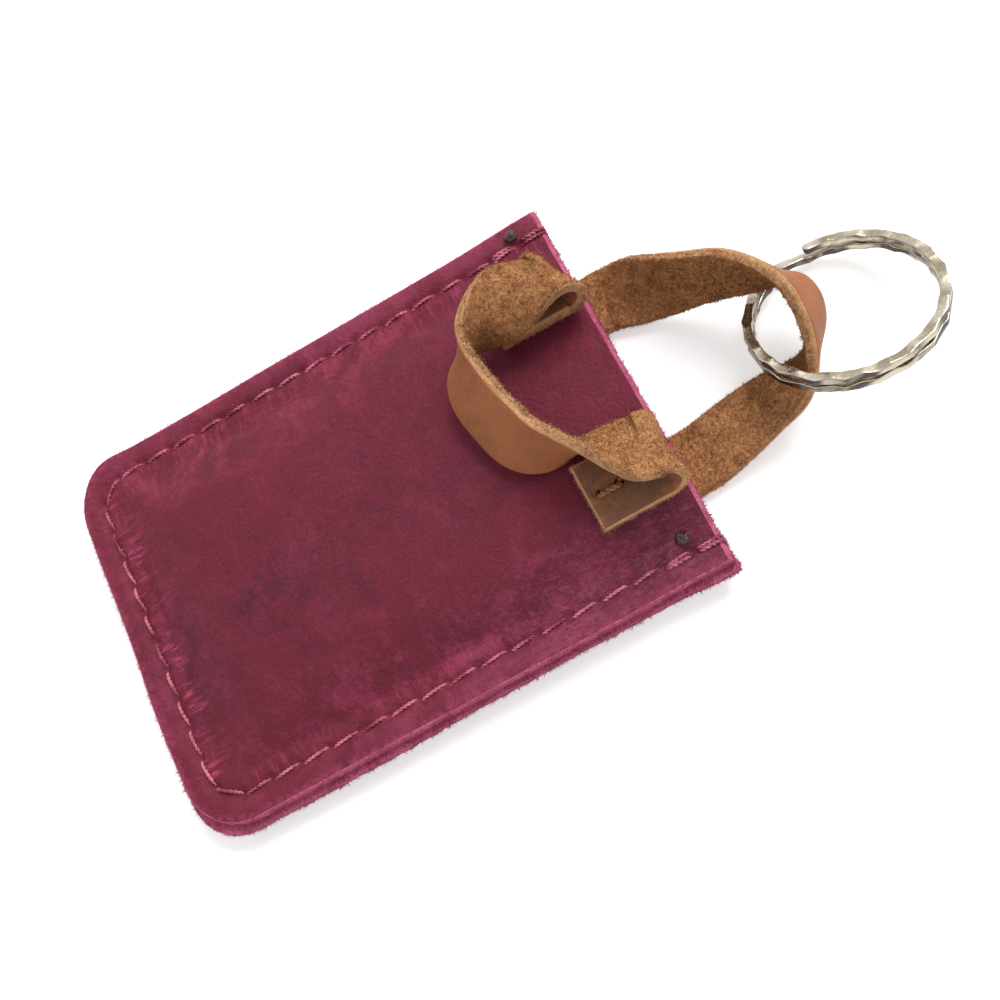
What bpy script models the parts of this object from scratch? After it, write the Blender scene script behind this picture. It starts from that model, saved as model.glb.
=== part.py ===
"""Mini handbag keychain: a small open pouch of two leather panels sewn in a U.

Each panel carries a strap handle whose two ends are sewn down flat on it. The front
handle lies folded over the mouth onto the front panel. The back handle lies straight
out past the mouth, and a hammered split ring is threaded round it.

The pouch lies on its back. The origin is in the middle of the face it lies on, +X is
the right side of the front panel, +Y points out of the mouth and +Z out of the front.
Lengths are in metres and angles in degrees.
"""

import math

import bmesh
import bpy
from mathutils import Matrix, Vector

# Panels
PANEL_WIDTH = 0.0500
PANEL_HEIGHT = 0.0685
PANEL_THICKNESS = 0.0017
CORNER_RADIUS = 0.0070
BACK_OVERSIZE = 0.0005
PANEL_GAP = 0.0003
SEAM_MARGIN = 0.0053

# How far the filled pouch bulges between its seams, and how it rests on its belly
FRONT_CROWN = 0.0042
BELLY_CROWN = 0.0023
CROWN_POWER = 4
FRONT_PLATEAU_SHARE = 0.45
BELLY_PLATEAU_SHARE = 0.52
BELLY_TAB_CLEARANCE = 0.0007

# Straps
STRAP_WIDTH = 0.0080
STRAP_THICKNESS = 0.0016
STRAP_GAP = 0.0003
TAB_OFFSET = 0.0118
TAB_LENGTH = 0.0092
BEND_GAP = 0.0003
LOOP_LEAD = 0.0004

# The front handle folds back on itself at the mouth
FRONT_BEND_RISE = 0.0027
FRONT_BEND_BULGE = 0.0015
FRONT_BEND_SETBACK = 0.0016
FRONT_REACH = 0.0137

# The back handle runs straight out, over a short length that is left free to bend
BACK_BEND_DROP = 0.00135
BACK_BEND_OFFSET = 0.0004
BACK_BEND_LENGTH = 0.0013
BACK_REACH = 0.0189

# Thread, the holes it passes through and its stitches
THREAD_DIAMETER = 0.00065
THREAD_GAP = 0.00015
SEAM_INSET = 0.0031
SEAM_PITCH = 0.00387
SEAM_FIRST_HOLE = 0.0035
ROW_PITCH = 0.0028
ROW_FIRST_HOLE = 0.0012
ROW_HOLES = 3
ROW_SINK = 0.00005

# Melted thread ends on the front panel
KNOT_DIAMETER = 0.0014
KNOT_HEIGHT = 0.0009
KNOT_BELOW_MOUTH = 0.0037
KNOT_LIFT = 0.0005
KNOT_STEP_IN = 0.0016
KNOT_STEP_OUT = 0.0014

# Split ring: a flat wire wound nearly twice round in two flat coils, which steps from
# one to the other in the gap between its two tips
RING_DIAMETER = 0.0230
RING_WIRE_WIDTH = 0.0014
RING_WIRE_HEIGHT = 0.00115
RING_COIL_GAP = 0.00045
RING_TIP_GAP_SHARE = 0.08
RING_TIP_ANGLE = 176.0
RING_DENTS = 20
RING_DENT_SHARE = 0.055

# Cuts run this far past what they cut
OVERRUN = 0.0010

# Facets
ARCH_COLUMNS = 17
PANEL_ROWS = 8
CORNER_STEPS = 8
HOLE_SIDES = 6
BEND_STEPS = 8
LOOP_STEPS = 52
RING_STEPS = 44

# Each handle's middle line, from its right root to its left root: across as a share of
# the root's place, out as a share of the reach, up as a share of the strap's width, and
# the strap's roll about its run, in degrees
BACK_LOOP_SHARES = (
    (1.00, 0.00, 0.00, 0),
    (0.95, 0.24, 0.08, 8),
    (0.89, 0.475, 0.17, 21),
    (0.85, 0.695, 0.275, 36),
    (0.75, 0.865, 0.425, 72),
    (0.57, 0.965, 0.675, 102),
    (0.325, 1.00, 0.93, 120),
    (0.075, 0.965, 1.06, 120),
    (-0.14, 0.85, 1.03, 98),
    (-0.37, 0.70, 0.865, 80),
    (-0.56, 0.525, 0.645, 70),
    (-0.73, 0.35, 0.415, 52),
    (-0.885, 0.18, 0.205, 27),
    (-1.00, 0.00, 0.00, 0),
)
FRONT_LOOP_SHARES = (
    (0.80, 0.00, 0.11, 10),
    (0.74, 0.19, 0.12, 38),
    (0.63, 0.41, 0.16, 66),
    (0.52, 0.61, 0.15, 97),
    (0.40, 0.78, 0.14, 121),
    (0.22, 0.89, 0.12, 131),
    (-0.04, 0.96, 0.16, 131),
    (-0.32, 1.00, 0.25, 130),
    (-0.56, 0.96, 0.31, 121),
    (-0.73, 0.83, 0.34, 95),
    (-0.83, 0.62, 0.37, 60),
    (-0.90, 0.42, 0.27, 29),
    (-0.93, 0.22, 0.14, 12),
    (-0.96, 0.00, 0.01, -2),
)

# Where the ring's wire crosses the back handle, on its left and on its right, in the
# same shares of place, reach and width as the handle's middle line
RING_CROSSING_SHARES = (
    (-0.139, 0.815, 0.238),
    (0.917, 0.688, 0.940),
)

# Sizes that follow from the ones above
THREAD_RADIUS = THREAD_DIAMETER / 2
MOUTH_Y = PANEL_HEIGHT / 2
BOTTOM_Y = -PANEL_HEIGHT / 2
TAB_START_Y = MOUTH_Y - FRONT_BEND_SETBACK - TAB_LENGTH
ARCH_HALF = PANEL_WIDTH / 2 - SEAM_MARGIN
BACK_BOTTOM_Z = STRAP_THICKNESS + STRAP_GAP
BACK_TOP_Z = BACK_BOTTOM_Z + PANEL_THICKNESS
FRONT_BOTTOM_Z = BACK_TOP_Z + PANEL_GAP
FRONT_TOP_Z = FRONT_BOTTOM_Z + PANEL_THICKNESS
HOLE_HALF_LENGTH = THREAD_RADIUS + 2 * THREAD_GAP
THREAD_SPREAD = THREAD_RADIUS + THREAD_GAP / 2
HOLE_HALF_WIDTH = THREAD_SPREAD + THREAD_RADIUS + THREAD_GAP
THREAD_LIFT = THREAD_RADIUS + THREAD_GAP
RING_TURNS = 2.0 - RING_TIP_GAP_SHARE
ROW_Y = [TAB_START_Y + ROW_FIRST_HOLE + ROW_PITCH * step for step in range(ROW_HOLES)]


def clear_scene():
    """Remove every object, so that the model starts from nothing."""
    for thing in list(bpy.data.objects):
        bpy.data.objects.remove(thing, do_unlink=True)


def new_collection(name):
    """Make a collection in the scene."""
    group = bpy.data.collections.new(name)
    bpy.context.scene.collection.children.link(group)
    return group


clear_scene()
MODEL = new_collection("mini_handbag_keychain")
CUTTERS = new_collection("cutters")


def material(name, colour, roughness, metallic=0.0):
    """Make a Principled material."""
    made = bpy.data.materials.new(name)
    made.use_nodes = True
    shader = made.node_tree.nodes["Principled BSDF"]
    shader.inputs["Base Color"].default_value = (*colour, 1.0)
    shader.inputs["Roughness"].default_value = roughness
    shader.inputs["Metallic"].default_value = metallic
    made.diffuse_color = (*colour, 1.0)
    return made


def add_object(name, data, finish, group=None):
    """Put data in the scene as a named object with its material."""
    thing = bpy.data.objects.new(name, data)
    (group or MODEL).objects.link(thing)
    data.materials.append(finish)
    return thing


def add_mesh(name, bm, finish, group=None):
    """Turn a bmesh into a named object."""
    bmesh.ops.recalc_face_normals(bm, faces=bm.faces)
    mesh = bpy.data.meshes.new(name)
    bm.to_mesh(mesh)
    bm.free()
    return add_object(name, mesh, finish, group)


def add_pivot(name, place, axis):
    """Put an empty at a joint's pivot, with its X along the joint's axis."""
    empty = bpy.data.objects.new(name, None)
    empty.location = place
    empty.rotation_mode = "QUATERNION"
    empty.rotation_quaternion = axis.to_track_quat("X", "Z")
    MODEL.objects.link(empty)
    return empty


def hang_on(thing, empty):
    """Parent a piece to an empty and keep the piece where it is."""
    bpy.context.view_layer.update()
    thing.parent = empty
    thing.matrix_parent_inverse = empty.matrix_world.inverted()


def smooth(thing, angle=35.0):
    """Shade a mesh smooth, except along its sharp edges."""
    thing.data.shade_smooth()
    thing.data.set_sharp_from_angle(angle=math.radians(angle))


def as_cutter(thing):
    """Keep a cutter out of the render."""
    thing.hide_render = True
    thing.display_type = "WIRE"
    return thing


def cut(target, cutter, operation="DIFFERENCE"):
    """Cut one solid by another."""
    boolean = target.modifiers.new(cutter.name, "BOOLEAN")
    boolean.operation = operation
    boolean.solver = "EXACT"
    boolean.object = cutter


def solidify(thing, thickness, offset):
    """Give a sheet its thickness."""
    shell = thing.modifiers.new("thickness", "SOLIDIFY")
    shell.thickness = thickness
    shell.offset = offset
    shell.use_even_offset = True


def sheet(name, columns, rows, place, finish):
    """Make a sheet of columns by rows cells, with each corner where place puts it."""
    bm = bmesh.new()
    bmesh.ops.create_grid(bm, x_segments=columns, y_segments=rows, size=1.0)
    for vert in bm.verts:
        vert.co = place((vert.co.x + 1.0) / 2.0, (vert.co.y + 1.0) / 2.0)
    mesh = bpy.data.meshes.new(name)
    bm.to_mesh(mesh)
    bm.free()
    return add_object(name, mesh, finish)


def spaced(share, marks, counts):
    """Give the place at a share of the cells, with counts cells between the marks."""
    cells = share * sum(counts)
    for low, high, count in zip(marks, marks[1:], counts):
        if cells <= count:
            return low + (high - low) * cells / count
        cells -= count
    return marks[-1]


def plateau_y(share):
    """Give how far up a panel its bulge is full, from its share of the height."""
    return BOTTOM_Y + PANEL_HEIGHT * share


def crown(x, y, full_y, top_y):
    """Give the share of full bulge at a place between the seams.

    It is nothing at the side and bottom seam margins, full in the middle, and falls
    again towards top_y where that isn't None.
    """
    across = 1.0 - min(abs(x) / ARCH_HALF, 1.0) ** CROWN_POWER
    bottom_y = BOTTOM_Y + SEAM_MARGIN
    along = 1.0
    if y < full_y:
        along = 1.0 - min((full_y - y) / (full_y - bottom_y), 1.0) ** CROWN_POWER
    elif top_y is not None:
        along = 1.0 - min((y - full_y) / (top_y - full_y), 1.0) ** CROWN_POWER
    return across * along


def front_underside(x, y):
    """Give the height of the front panel's inner face."""
    return FRONT_BOTTOM_Z + FRONT_CROWN * crown(x, y, plateau_y(FRONT_PLATEAU_SHARE), None)


def back_underside(x, y):
    """Give the height of the back panel's outer face, pressed flat where it rests."""
    top_y = TAB_START_Y - BELLY_TAB_CLEARANCE
    bulge = BELLY_CROWN * crown(x, y, plateau_y(BELLY_PLATEAU_SHARE), top_y)
    return max(0.0, BACK_BOTTOM_Z - bulge)


def front_slope(x):
    """Give the angle by which the front panel falls off at x, near its mouth."""
    return math.atan(CROWN_POWER * FRONT_CROWN / ARCH_HALF * (x / ARCH_HALF) ** (CROWN_POWER - 1))


def outline_points(grow):
    """Give the panel's outline: square corners at the mouth, round ones at the bottom."""
    half = PANEL_WIDTH / 2 + grow
    low = BOTTOM_Y - grow
    radius = CORNER_RADIUS + grow
    points = [(-half, MOUTH_Y), (half, MOUTH_Y)]
    for side, start in ((1, 0.0), (-1, 90.0)):
        for step in range(CORNER_STEPS + 1):
            turn = math.radians(start + 90.0 * step / CORNER_STEPS)
            x = (half - radius) * side + radius * math.cos(turn)
            points.append((x, low + radius - radius * math.sin(turn)))
    return points


def outline_cutter(name, grow, finish):
    """Make the tall block with the panel's outline that trims a panel."""
    curve = bpy.data.curves.new(name, "CURVE")
    curve.dimensions = "2D"
    curve.fill_mode = "BOTH"
    curve.extrude = FRONT_TOP_Z + FRONT_CROWN + OVERRUN
    points = outline_points(grow)
    spline = curve.splines.new("POLY")
    spline.points.add(len(points) - 1)
    for point, (x, y) in zip(spline.points, points):
        point.co = (x, y, 0.0, 1.0)
    spline.use_cyclic_u = True
    return as_cutter(curve_to_mesh(add_object(name, curve, finish, CUTTERS), CUTTERS))


def curve_to_mesh(thing, group):
    """Replace a curve object by the closed mesh it draws."""
    bpy.context.view_layer.update()
    evaluated = thing.evaluated_get(bpy.context.evaluated_depsgraph_get())
    mesh = bpy.data.meshes.new_from_object(evaluated)
    bm = bmesh.new()
    bm.from_mesh(mesh)
    bmesh.ops.remove_doubles(bm, verts=bm.verts, dist=OVERRUN / 1000)
    bmesh.ops.recalc_face_normals(bm, faces=bm.faces)
    bm.to_mesh(mesh)
    bm.free()
    name = thing.name
    made = bpy.data.objects.new(name, mesh)
    made.matrix_world = thing.matrix_world
    bpy.data.objects.remove(thing, do_unlink=True)
    made.name = name
    group.objects.link(made)
    return made


def seam_place(distance):
    """Give the point at a distance along the seam, its direction and its outward side.

    The seam runs from the right end of the mouth, round the bottom, to the left end.
    """
    half = PANEL_WIDTH / 2 - SEAM_INSET
    radius = CORNER_RADIUS - SEAM_INSET
    low = BOTTOM_Y + SEAM_INSET
    side = MOUTH_Y - SEAM_FIRST_HOLE - low - radius
    arc = radius * math.pi / 2
    bottom = 2 * (half - radius)
    if distance < side:
        return Vector((half, MOUTH_Y - SEAM_FIRST_HOLE - distance)), Vector((0, -1)), Vector((1, 0))
    distance -= side
    if distance < arc:
        turn = distance / radius
        out = Vector((math.cos(turn), -math.sin(turn)))
        return Vector((half - radius, low + radius)) + radius * out, Vector((out.y, -out.x)), out
    distance -= arc
    if distance < bottom:
        return Vector((half - radius - distance, low)), Vector((-1, 0)), Vector((0, -1))
    distance -= bottom
    if distance < arc:
        turn = math.pi / 2 + distance / radius
        out = Vector((math.cos(turn), -math.sin(turn)))
        return Vector((radius - half, low + radius)) + radius * out, Vector((out.y, -out.x)), out
    distance -= arc
    return Vector((-half, low + radius + distance)), Vector((0, 1)), Vector((-1, 0))


def seam_holes():
    """Give the evenly spaced holes of the seam as point, direction and outward side."""
    radius = CORNER_RADIUS - SEAM_INSET
    straight = 2 * (PANEL_HEIGHT - SEAM_FIRST_HOLE - SEAM_INSET - radius)
    bottom = PANEL_WIDTH - 2 * SEAM_INSET - 2 * radius
    length = straight + bottom + math.pi * radius
    stitches = 2 * round(length / SEAM_PITCH / 2)
    return [seam_place(length * step / stitches) for step in range(stitches + 1)]


def hole_cutters(name, holes, low, high, finish):
    """Make the oval awl cutters for holes given as frames, from depth low to high."""
    bm = bmesh.new()
    grow = 1.0 / math.cos(math.pi / HOLE_SIDES)
    for frame in holes:
        stretch = Matrix.Diagonal((HOLE_HALF_LENGTH * grow, HOLE_HALF_WIDTH * grow, high - low, 1.0))
        shift = Matrix.Translation((0.0, 0.0, (high + low) / 2))
        bmesh.ops.create_cone(bm, cap_ends=True, segments=HOLE_SIDES, radius1=1.0, radius2=1.0,
                              depth=1.0, matrix=frame @ shift @ stretch)
    return as_cutter(add_mesh(name, bm, finish, CUTTERS))


def seam_frame(place):
    """Give the frame of a seam hole: X along the seam, Y outward, Z up."""
    point, along, out = place
    rotation = Matrix(((along.x, out.x, 0.0), (along.y, out.y, 0.0), (0.0, 0.0, 1.0))).to_4x4()
    return Matrix.Translation((point.x, point.y, 0.0)) @ rotation


def thread(name, points, finish):
    """Make one unbroken thread through the points."""
    curve = bpy.data.curves.new(name, "CURVE")
    curve.dimensions = "3D"
    curve.bevel_depth = THREAD_RADIUS
    curve.bevel_resolution = 1
    curve.use_fill_caps = True
    spline = curve.splines.new("POLY")
    spline.points.add(len(points) - 1)
    for point, place in zip(spline.points, points):
        point.co = (*place, 1.0)
    thing = curve_to_mesh(add_object(name, curve, finish), MODEL)
    smooth(thing)
    return thing


def run_points(start, end, lateral, surface, up):
    """Give the points of one stitch on a face, from hole frame to hole frame.

    The thread leaves the first hole at its rim, lies just off the face and turns down
    at the rim of the next. surface is the face's height, up is 1 above it and -1 below,
    and lateral gives the side of the hole that the thread keeps to at either end.
    """
    first, last = lateral
    lying = surface + up * THREAD_LIFT
    return [
        start @ Vector((0.0, first, surface)),
        start @ Vector((THREAD_LIFT, first, lying)),
        end @ Vector((-THREAD_LIFT, last, lying)),
        end @ Vector((0.0, last, surface)),
    ]


def seam_thread_points(frames, front_first):
    """Give a running thread: on the front in every other stitch, on the back between.

    Two of them pass side by side through every hole, so each stitch lies aslant.
    """
    points = []
    for step, (start, end) in enumerate(zip(frames, frames[1:])):
        on_front = (step % 2 == 0) == front_first
        surface, up = (FRONT_TOP_Z, 1) if on_front else (BACK_BOTTOM_Z, -1)
        slant = (-up * THREAD_SPREAD, up * THREAD_SPREAD)
        points += run_points(start, end, slant, surface, up)
    return points


def edge_wrap_points(frame, start_on_front):
    """Give the thread round the mouth's edge beside the seam's end hole.

    Its points run from the loose end to the hole, which it enters on the other face.
    """
    high = FRONT_TOP_Z + THREAD_LIFT
    low = BACK_BOTTOM_Z - THREAD_LIFT
    past_mouth = MOUTH_Y + THREAD_LIFT
    hole = frame @ Vector((0.0, -THREAD_SPREAD, 0.0))
    near_hole = hole.y + THREAD_LIFT
    first, last = (high, low) if start_on_front else (low, high)
    rim = BACK_BOTTOM_Z if start_on_front else FRONT_TOP_Z
    turn = math.copysign(THREAD_LIFT / 2, first - last)
    return [
        Vector((hole.x, near_hole, first)),
        Vector((hole.x, MOUTH_Y, first)),
        Vector((hole.x, past_mouth, first - turn)),
        Vector((hole.x, past_mouth, last + turn)),
        Vector((hole.x, MOUTH_Y, last)),
        Vector((hole.x, near_hole, last)),
        Vector((hole.x, hole.y, rim)),
    ]


def strap_ribbon(name, stations, finish):
    """Make a strap from stations of middle point and width direction."""
    count = len(stations) - 1

    def place(across, along):
        middle, width = stations[round(along * count)]
        return middle + width * (across - 0.5) * STRAP_WIDTH

    strap = sheet(name, 2, count, place, finish)
    solidify(strap, STRAP_THICKNESS, 0.0)
    smooth(strap, 60.0)
    return strap


def spline_points(table, steps):
    """Give evenly stepped rows along a smooth curve through the rows of a table.

    The curve leaves its first row and reaches its last one straight outwards.
    """
    rows = [Vector(row) for row in table]
    before = Vector((rows[1][0], -rows[1][1], rows[1][2], rows[1][3]))
    after = Vector((rows[-2][0], -rows[-2][1], rows[-2][2], rows[-2][3]))
    rows = [before, *rows, after]
    made = []
    for step in range(steps + 1):
        at = step * (len(rows) - 3) / steps
        index = min(int(at), len(rows) - 4)
        t = at - index
        a, b, c, d = rows[index:index + 4]
        made.append((b * 2 + (c - a) * t + (a * 2 - b * 5 + c * 4 - d) * t ** 2
                     + (b * 3 - a - c * 3 + d) * t ** 3) / 2)
    return made


def arch_place(row, root, reach):
    """Give the place that a row of shares names.

    root is where the middle of the strap would start if its share across were 1, and
    reach is how far the arch goes out, negative towards the bottom.
    """
    return Vector((root.x * row[0], root.y + reach * row[1], root.z + STRAP_WIDTH * row[2]))


def loop_stations(table, root, reach, side):
    """Give the stations of a handle's arch from its table of shares.

    side tells whether the upper edge is on the strap's right (1) or left (-1). A short
    straight lead comes before the first row and after the last.
    """
    rows = spline_points(table, LOOP_STEPS)
    middles = [arch_place(row, root, reach) for row in rows]
    stations = []
    last = len(rows) - 1
    for index, (middle, row) in enumerate(zip(middles, rows)):
        run = (middles[min(index + 1, last)] - middles[max(index - 1, 0)]).normalized()
        if index in (0, last):
            run = Vector((0.0, math.copysign(1.0, run.y), 0.0))
        right = run.cross(Vector((0, 0, 1))).normalized()
        above = right.cross(run)
        roll = math.radians(row[3])
        stations.append((middle, right * side * math.cos(roll) + above * math.sin(roll)))
    lead = Vector((0.0, math.copysign(LOOP_LEAD, reach), 0.0))
    ends = [(middle - lead, width) for middle, width in (stations[0], stations[-1])]
    return [ends[0], *stations, ends[1]]


def fold_stations(start, end):
    """Give the stations of the strap's fold from one layer's end to the other's."""
    lead = Vector((0.0, -BEND_GAP, 0.0))
    stations = [(start[0] + lead, start[1])]
    for step in range(BEND_STEPS + 1):
        turn = math.pi * step / BEND_STEPS
        middle = start[0].lerp(end[0], (1.0 - math.cos(turn)) / 2)
        middle.y += FRONT_BEND_BULGE * math.sin(turn)
        stations.append((middle, start[1].lerp(end[1], step / BEND_STEPS).normalized()))
    return [*stations, (end[0] + lead, end[1])]


def tab_frame(side, front):
    """Give the frame of a sewn strap end: X to the mouth, Y outward, Z off the panel.

    Its origin is in the middle of the strap's thickness at y zero.
    """
    if front:
        tilt = front_slope(TAB_OFFSET)
        off = Vector((side * math.sin(tilt), 0.0, math.cos(tilt)))
        base = Vector((side * TAB_OFFSET, 0.0, front_underside(TAB_OFFSET, MOUTH_Y)))
        middle = base + off * (PANEL_THICKNESS + STRAP_GAP + STRAP_THICKNESS / 2)
    else:
        off = Vector((0.0, 0.0, -1.0))
        middle = Vector((side * TAB_OFFSET, 0.0, BACK_BOTTOM_Z)) + off * (STRAP_GAP + STRAP_THICKNESS / 2)
    out = Vector((side * abs(off.z), 0.0, -abs(off.x)))
    frame = Matrix.Identity(4)
    for column, axis in enumerate((Vector((0.0, 1.0, 0.0)), out, off, middle)):
        for row in range(3):
            frame[row][column] = axis[row]
    return frame


def row_frames(frame):
    """Give the frames of the stitch holes along a sewn strap end."""
    return [frame @ Matrix.Translation((y, 0.0, 0.0)) for y in ROW_Y]


def row_points(frames):
    """Give a handle's stitch row: out and back, with a stitch on both faces each way."""
    top = STRAP_THICKNESS / 2 - ROW_SINK - THREAD_LIFT - THREAD_RADIUS
    inside = -(STRAP_THICKNESS / 2 + STRAP_GAP + PANEL_THICKNESS)
    points = []
    stitches = list(zip(frames, frames[1:]))
    for step, (start, end) in enumerate(stitches):
        surface, up = (top, 1) if step % 2 == 0 else (inside, -1)
        points += run_points(start, end, (THREAD_SPREAD, THREAD_SPREAD), surface, up)
    for step, (start, end) in reversed(list(enumerate(stitches))):
        surface, up = (inside, -1) if step % 2 == 0 else (top, 1)
        points += run_points(start, end, (-THREAD_SPREAD, -THREAD_SPREAD), surface, up)[::-1]
    return points


def row_groove(name, frame, finish):
    """Make the cutter of the shallow groove that a stitch row is pulled into."""
    high = STRAP_THICKNESS / 2 + OVERRUN
    low = STRAP_THICKNESS / 2 - ROW_SINK - THREAD_DIAMETER - 2 * THREAD_GAP
    start = ROW_Y[0] - HOLE_HALF_LENGTH
    end = ROW_Y[-1] + HOLE_HALF_LENGTH
    size = Matrix.Diagonal((end - start, 2 * HOLE_HALF_WIDTH, high - low, 1.0))
    centre = Matrix.Translation(((start + end) / 2, 0.0, (high + low) / 2))
    bm = bmesh.new()
    bmesh.ops.create_cube(bm, size=1.0, matrix=frame @ centre @ size)
    return as_cutter(add_mesh(name, bm, finish, CUTTERS))


def build_panels(finish, edge_finish):
    """Build both panels, trimmed to outline and pierced for the seam and handles."""
    frames = [seam_frame(place) for place in seam_holes()]
    seam_cutter = hole_cutters("seam_holes", frames, -OVERRUN, FRONT_TOP_Z + OVERRUN, edge_finish)
    reach_x = PANEL_WIDTH / 2 + BACK_OVERSIZE + OVERRUN
    x_marks = (-reach_x, -ARCH_HALF, ARCH_HALF, reach_x)
    low_y = BOTTOM_Y - BACK_OVERSIZE - OVERRUN
    high_y = MOUTH_Y + OVERRUN
    margin_y = BOTTOM_Y + SEAM_MARGIN
    columns = (1, ARCH_COLUMNS, 1)
    through = PANEL_THICKNESS + STRAP_THICKNESS + STRAP_GAP + OVERRUN
    panels = []
    front_marks = (low_y, margin_y, plateau_y(FRONT_PLATEAU_SHARE), high_y)
    belly_top_y = TAB_START_Y - BELLY_TAB_CLEARANCE
    back_marks = (low_y, margin_y, plateau_y(BELLY_PLATEAU_SHARE), belly_top_y, high_y)
    for name, height, grow, front, y_marks, rows in (
        ("front_panel", front_underside, 0.0, True, front_marks, (1, PANEL_ROWS, 1)),
        ("back_panel", back_underside, BACK_OVERSIZE, False, back_marks,
         (1, PANEL_ROWS, PANEL_ROWS, 1)),
    ):
        def place(u, v):
            x = spaced(u, x_marks, columns)
            y = spaced(v, y_marks, rows)
            return Vector((x, y, height(x, y)))

        panel = sheet(name, sum(columns), sum(rows), place, finish)
        solidify(panel, PANEL_THICKNESS, 1.0)
        smooth(panel, 30.0)
        cut(panel, outline_cutter(name + "_outline", grow, edge_finish), "INTERSECT")
        cut(panel, seam_cutter)
        holes = []
        for side in (1, -1):
            holes += row_frames(tab_frame(side, front))
        cut(panel, hole_cutters(name + "_row_holes", holes, -through, through, edge_finish))
        panels.append(panel)
    return frames, panels


def build_seam(frames, finish, knot_finish):
    """Build the two threads of the saddle seam and the melted ends beside it."""
    first = edge_wrap_points(frames[0], True) + seam_thread_points(frames, True)
    first += edge_wrap_points(frames[-1], False)[::-1]
    thread("seam_thread_first", first, finish)
    thread("seam_thread_second", seam_thread_points(frames, False), finish)
    for name, side, step in (("seam_knot_right", 1, -KNOT_STEP_IN), ("seam_knot_left", -1, KNOT_STEP_OUT)):
        x = side * (PANEL_WIDTH / 2 - SEAM_INSET + step)
        z = FRONT_TOP_Z + KNOT_LIFT + KNOT_HEIGHT / 2
        bm = bmesh.new()
        shape = Matrix.Diagonal((KNOT_DIAMETER / 2, KNOT_DIAMETER / 2, KNOT_HEIGHT / 2, 1.0))
        place = Matrix.Translation((x, MOUTH_Y - KNOT_BELOW_MOUTH, z))
        bmesh.ops.create_uvsphere(bm, u_segments=10, v_segments=6, radius=1.0, matrix=place @ shape)
        smooth(add_mesh(name, bm, knot_finish), 60.0)


def build_ends(which, front, hinge_y, roots, finish, row_finish):
    """Build a handle's sewn ends, their stitch rows and the bends towards its arch.

    roots are the first and last stations of the arch.
    """
    for side, side_name, root in ((1, "right", roots[0]), (-1, "left", roots[1])):
        frame = tab_frame(side, front)
        width = frame.to_3x3() @ Vector((0.0, 1.0, 0.0))
        tab_end = hinge_y - (2 * BEND_GAP if front else BEND_GAP)
        stations = [(frame @ Vector((y, 0.0, 0.0)), width) for y in (TAB_START_Y, tab_end)]
        tab = strap_ribbon(f"{which}_tab_{side_name}", stations, finish)
        frames = row_frames(frame)
        through = PANEL_THICKNESS + STRAP_THICKNESS + STRAP_GAP + OVERRUN
        cut(tab, row_groove(f"{which}_groove_{side_name}", frame, finish))
        cut(tab, hole_cutters(f"{which}_tab_holes_{side_name}", frames, -through, through, finish))
        thread(f"{which}_stitches_{side_name}", row_points(frames), row_finish)
        start = frame @ Vector((hinge_y, 0.0, 0.0))
        if front:
            end = Vector((root[0].x, hinge_y, root[0].z))
            stations = fold_stations((start, width), (end, root[1]))
        else:
            run = Vector((0.0, BACK_BEND_LENGTH / 2, 0.0))
            stations = [(start + run * step, width) for step in range(3)]
        strap_ribbon(f"{which}_bend_{side_name}", stations, finish)


def build_front_handle(finish, row_finish):
    """Build the front handle, folded over onto the front panel."""
    hinge_y = MOUTH_Y - FRONT_BEND_SETBACK
    middle = tab_frame(1, True).translation
    fold = (0.0, hinge_y + FRONT_BEND_BULGE, middle.z + FRONT_BEND_RISE / 2)
    pivot = add_pivot("front_handle_pivot", fold, Vector((-1.0, 0.0, 0.0)))
    root = Vector((middle.x, hinge_y - 2 * BEND_GAP - LOOP_LEAD, middle.z + FRONT_BEND_RISE))
    stations = loop_stations(FRONT_LOOP_SHARES, root, -FRONT_REACH, -1)
    roots = (stations[0], stations[-1])
    build_ends("front_handle", True, hinge_y, roots, finish, row_finish)
    hang_on(strap_ribbon("front_handle_loop", stations, finish), pivot)


def build_back_handle(finish, row_finish):
    """Build the back handle, lying straight out past the mouth.

    It gives the handle's pivot and the two places where the ring crosses the strap.
    """
    hinge_y = MOUTH_Y + BACK_BEND_OFFSET
    middle = tab_frame(1, False).translation
    pivot = add_pivot("back_handle_pivot", (0.0, hinge_y, middle.z - BACK_BEND_DROP),
                      Vector((1.0, 0.0, 0.0)))
    root = Vector((middle.x, hinge_y + BACK_BEND_LENGTH + BEND_GAP + LOOP_LEAD, middle.z))
    stations = loop_stations(BACK_LOOP_SHARES, root, BACK_REACH, 1)
    roots = (stations[0], stations[-1])
    build_ends("back_handle", False, hinge_y, roots, finish, row_finish)
    hang_on(strap_ribbon("back_handle_loop", stations, finish), pivot)
    return pivot, [arch_place(row, root, BACK_REACH) for row in RING_CROSSING_SHARES]


def ring_points():
    """Give the split ring's middle line in its own plane, with the wire's size share."""
    radius = RING_DIAMETER / 2 - RING_WIRE_WIDTH / 2
    pitch = RING_WIRE_HEIGHT + RING_COIL_GAP
    steps = round(RING_TURNS * RING_STEPS)
    points = []
    for step in range(steps + 1):
        turn = RING_TURNS * step / steps
        angle = math.radians(RING_TIP_ANGLE) - 2 * math.pi * (RING_TURNS - turn)
        dent = 1.0 - RING_DENT_SHARE * (1.0 - math.cos(2 * math.pi * RING_DENTS * turn)) / 2
        rise = min(max((turn - RING_TURNS / 2) / RING_TIP_GAP_SHARE + 0.5, 0.0), 1.0)
        height = pitch * (rise * rise * (3.0 - 2.0 * rise) - 0.5)
        points.append((Vector((radius * math.cos(angle), radius * math.sin(angle), height)), dent))
    return points


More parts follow.
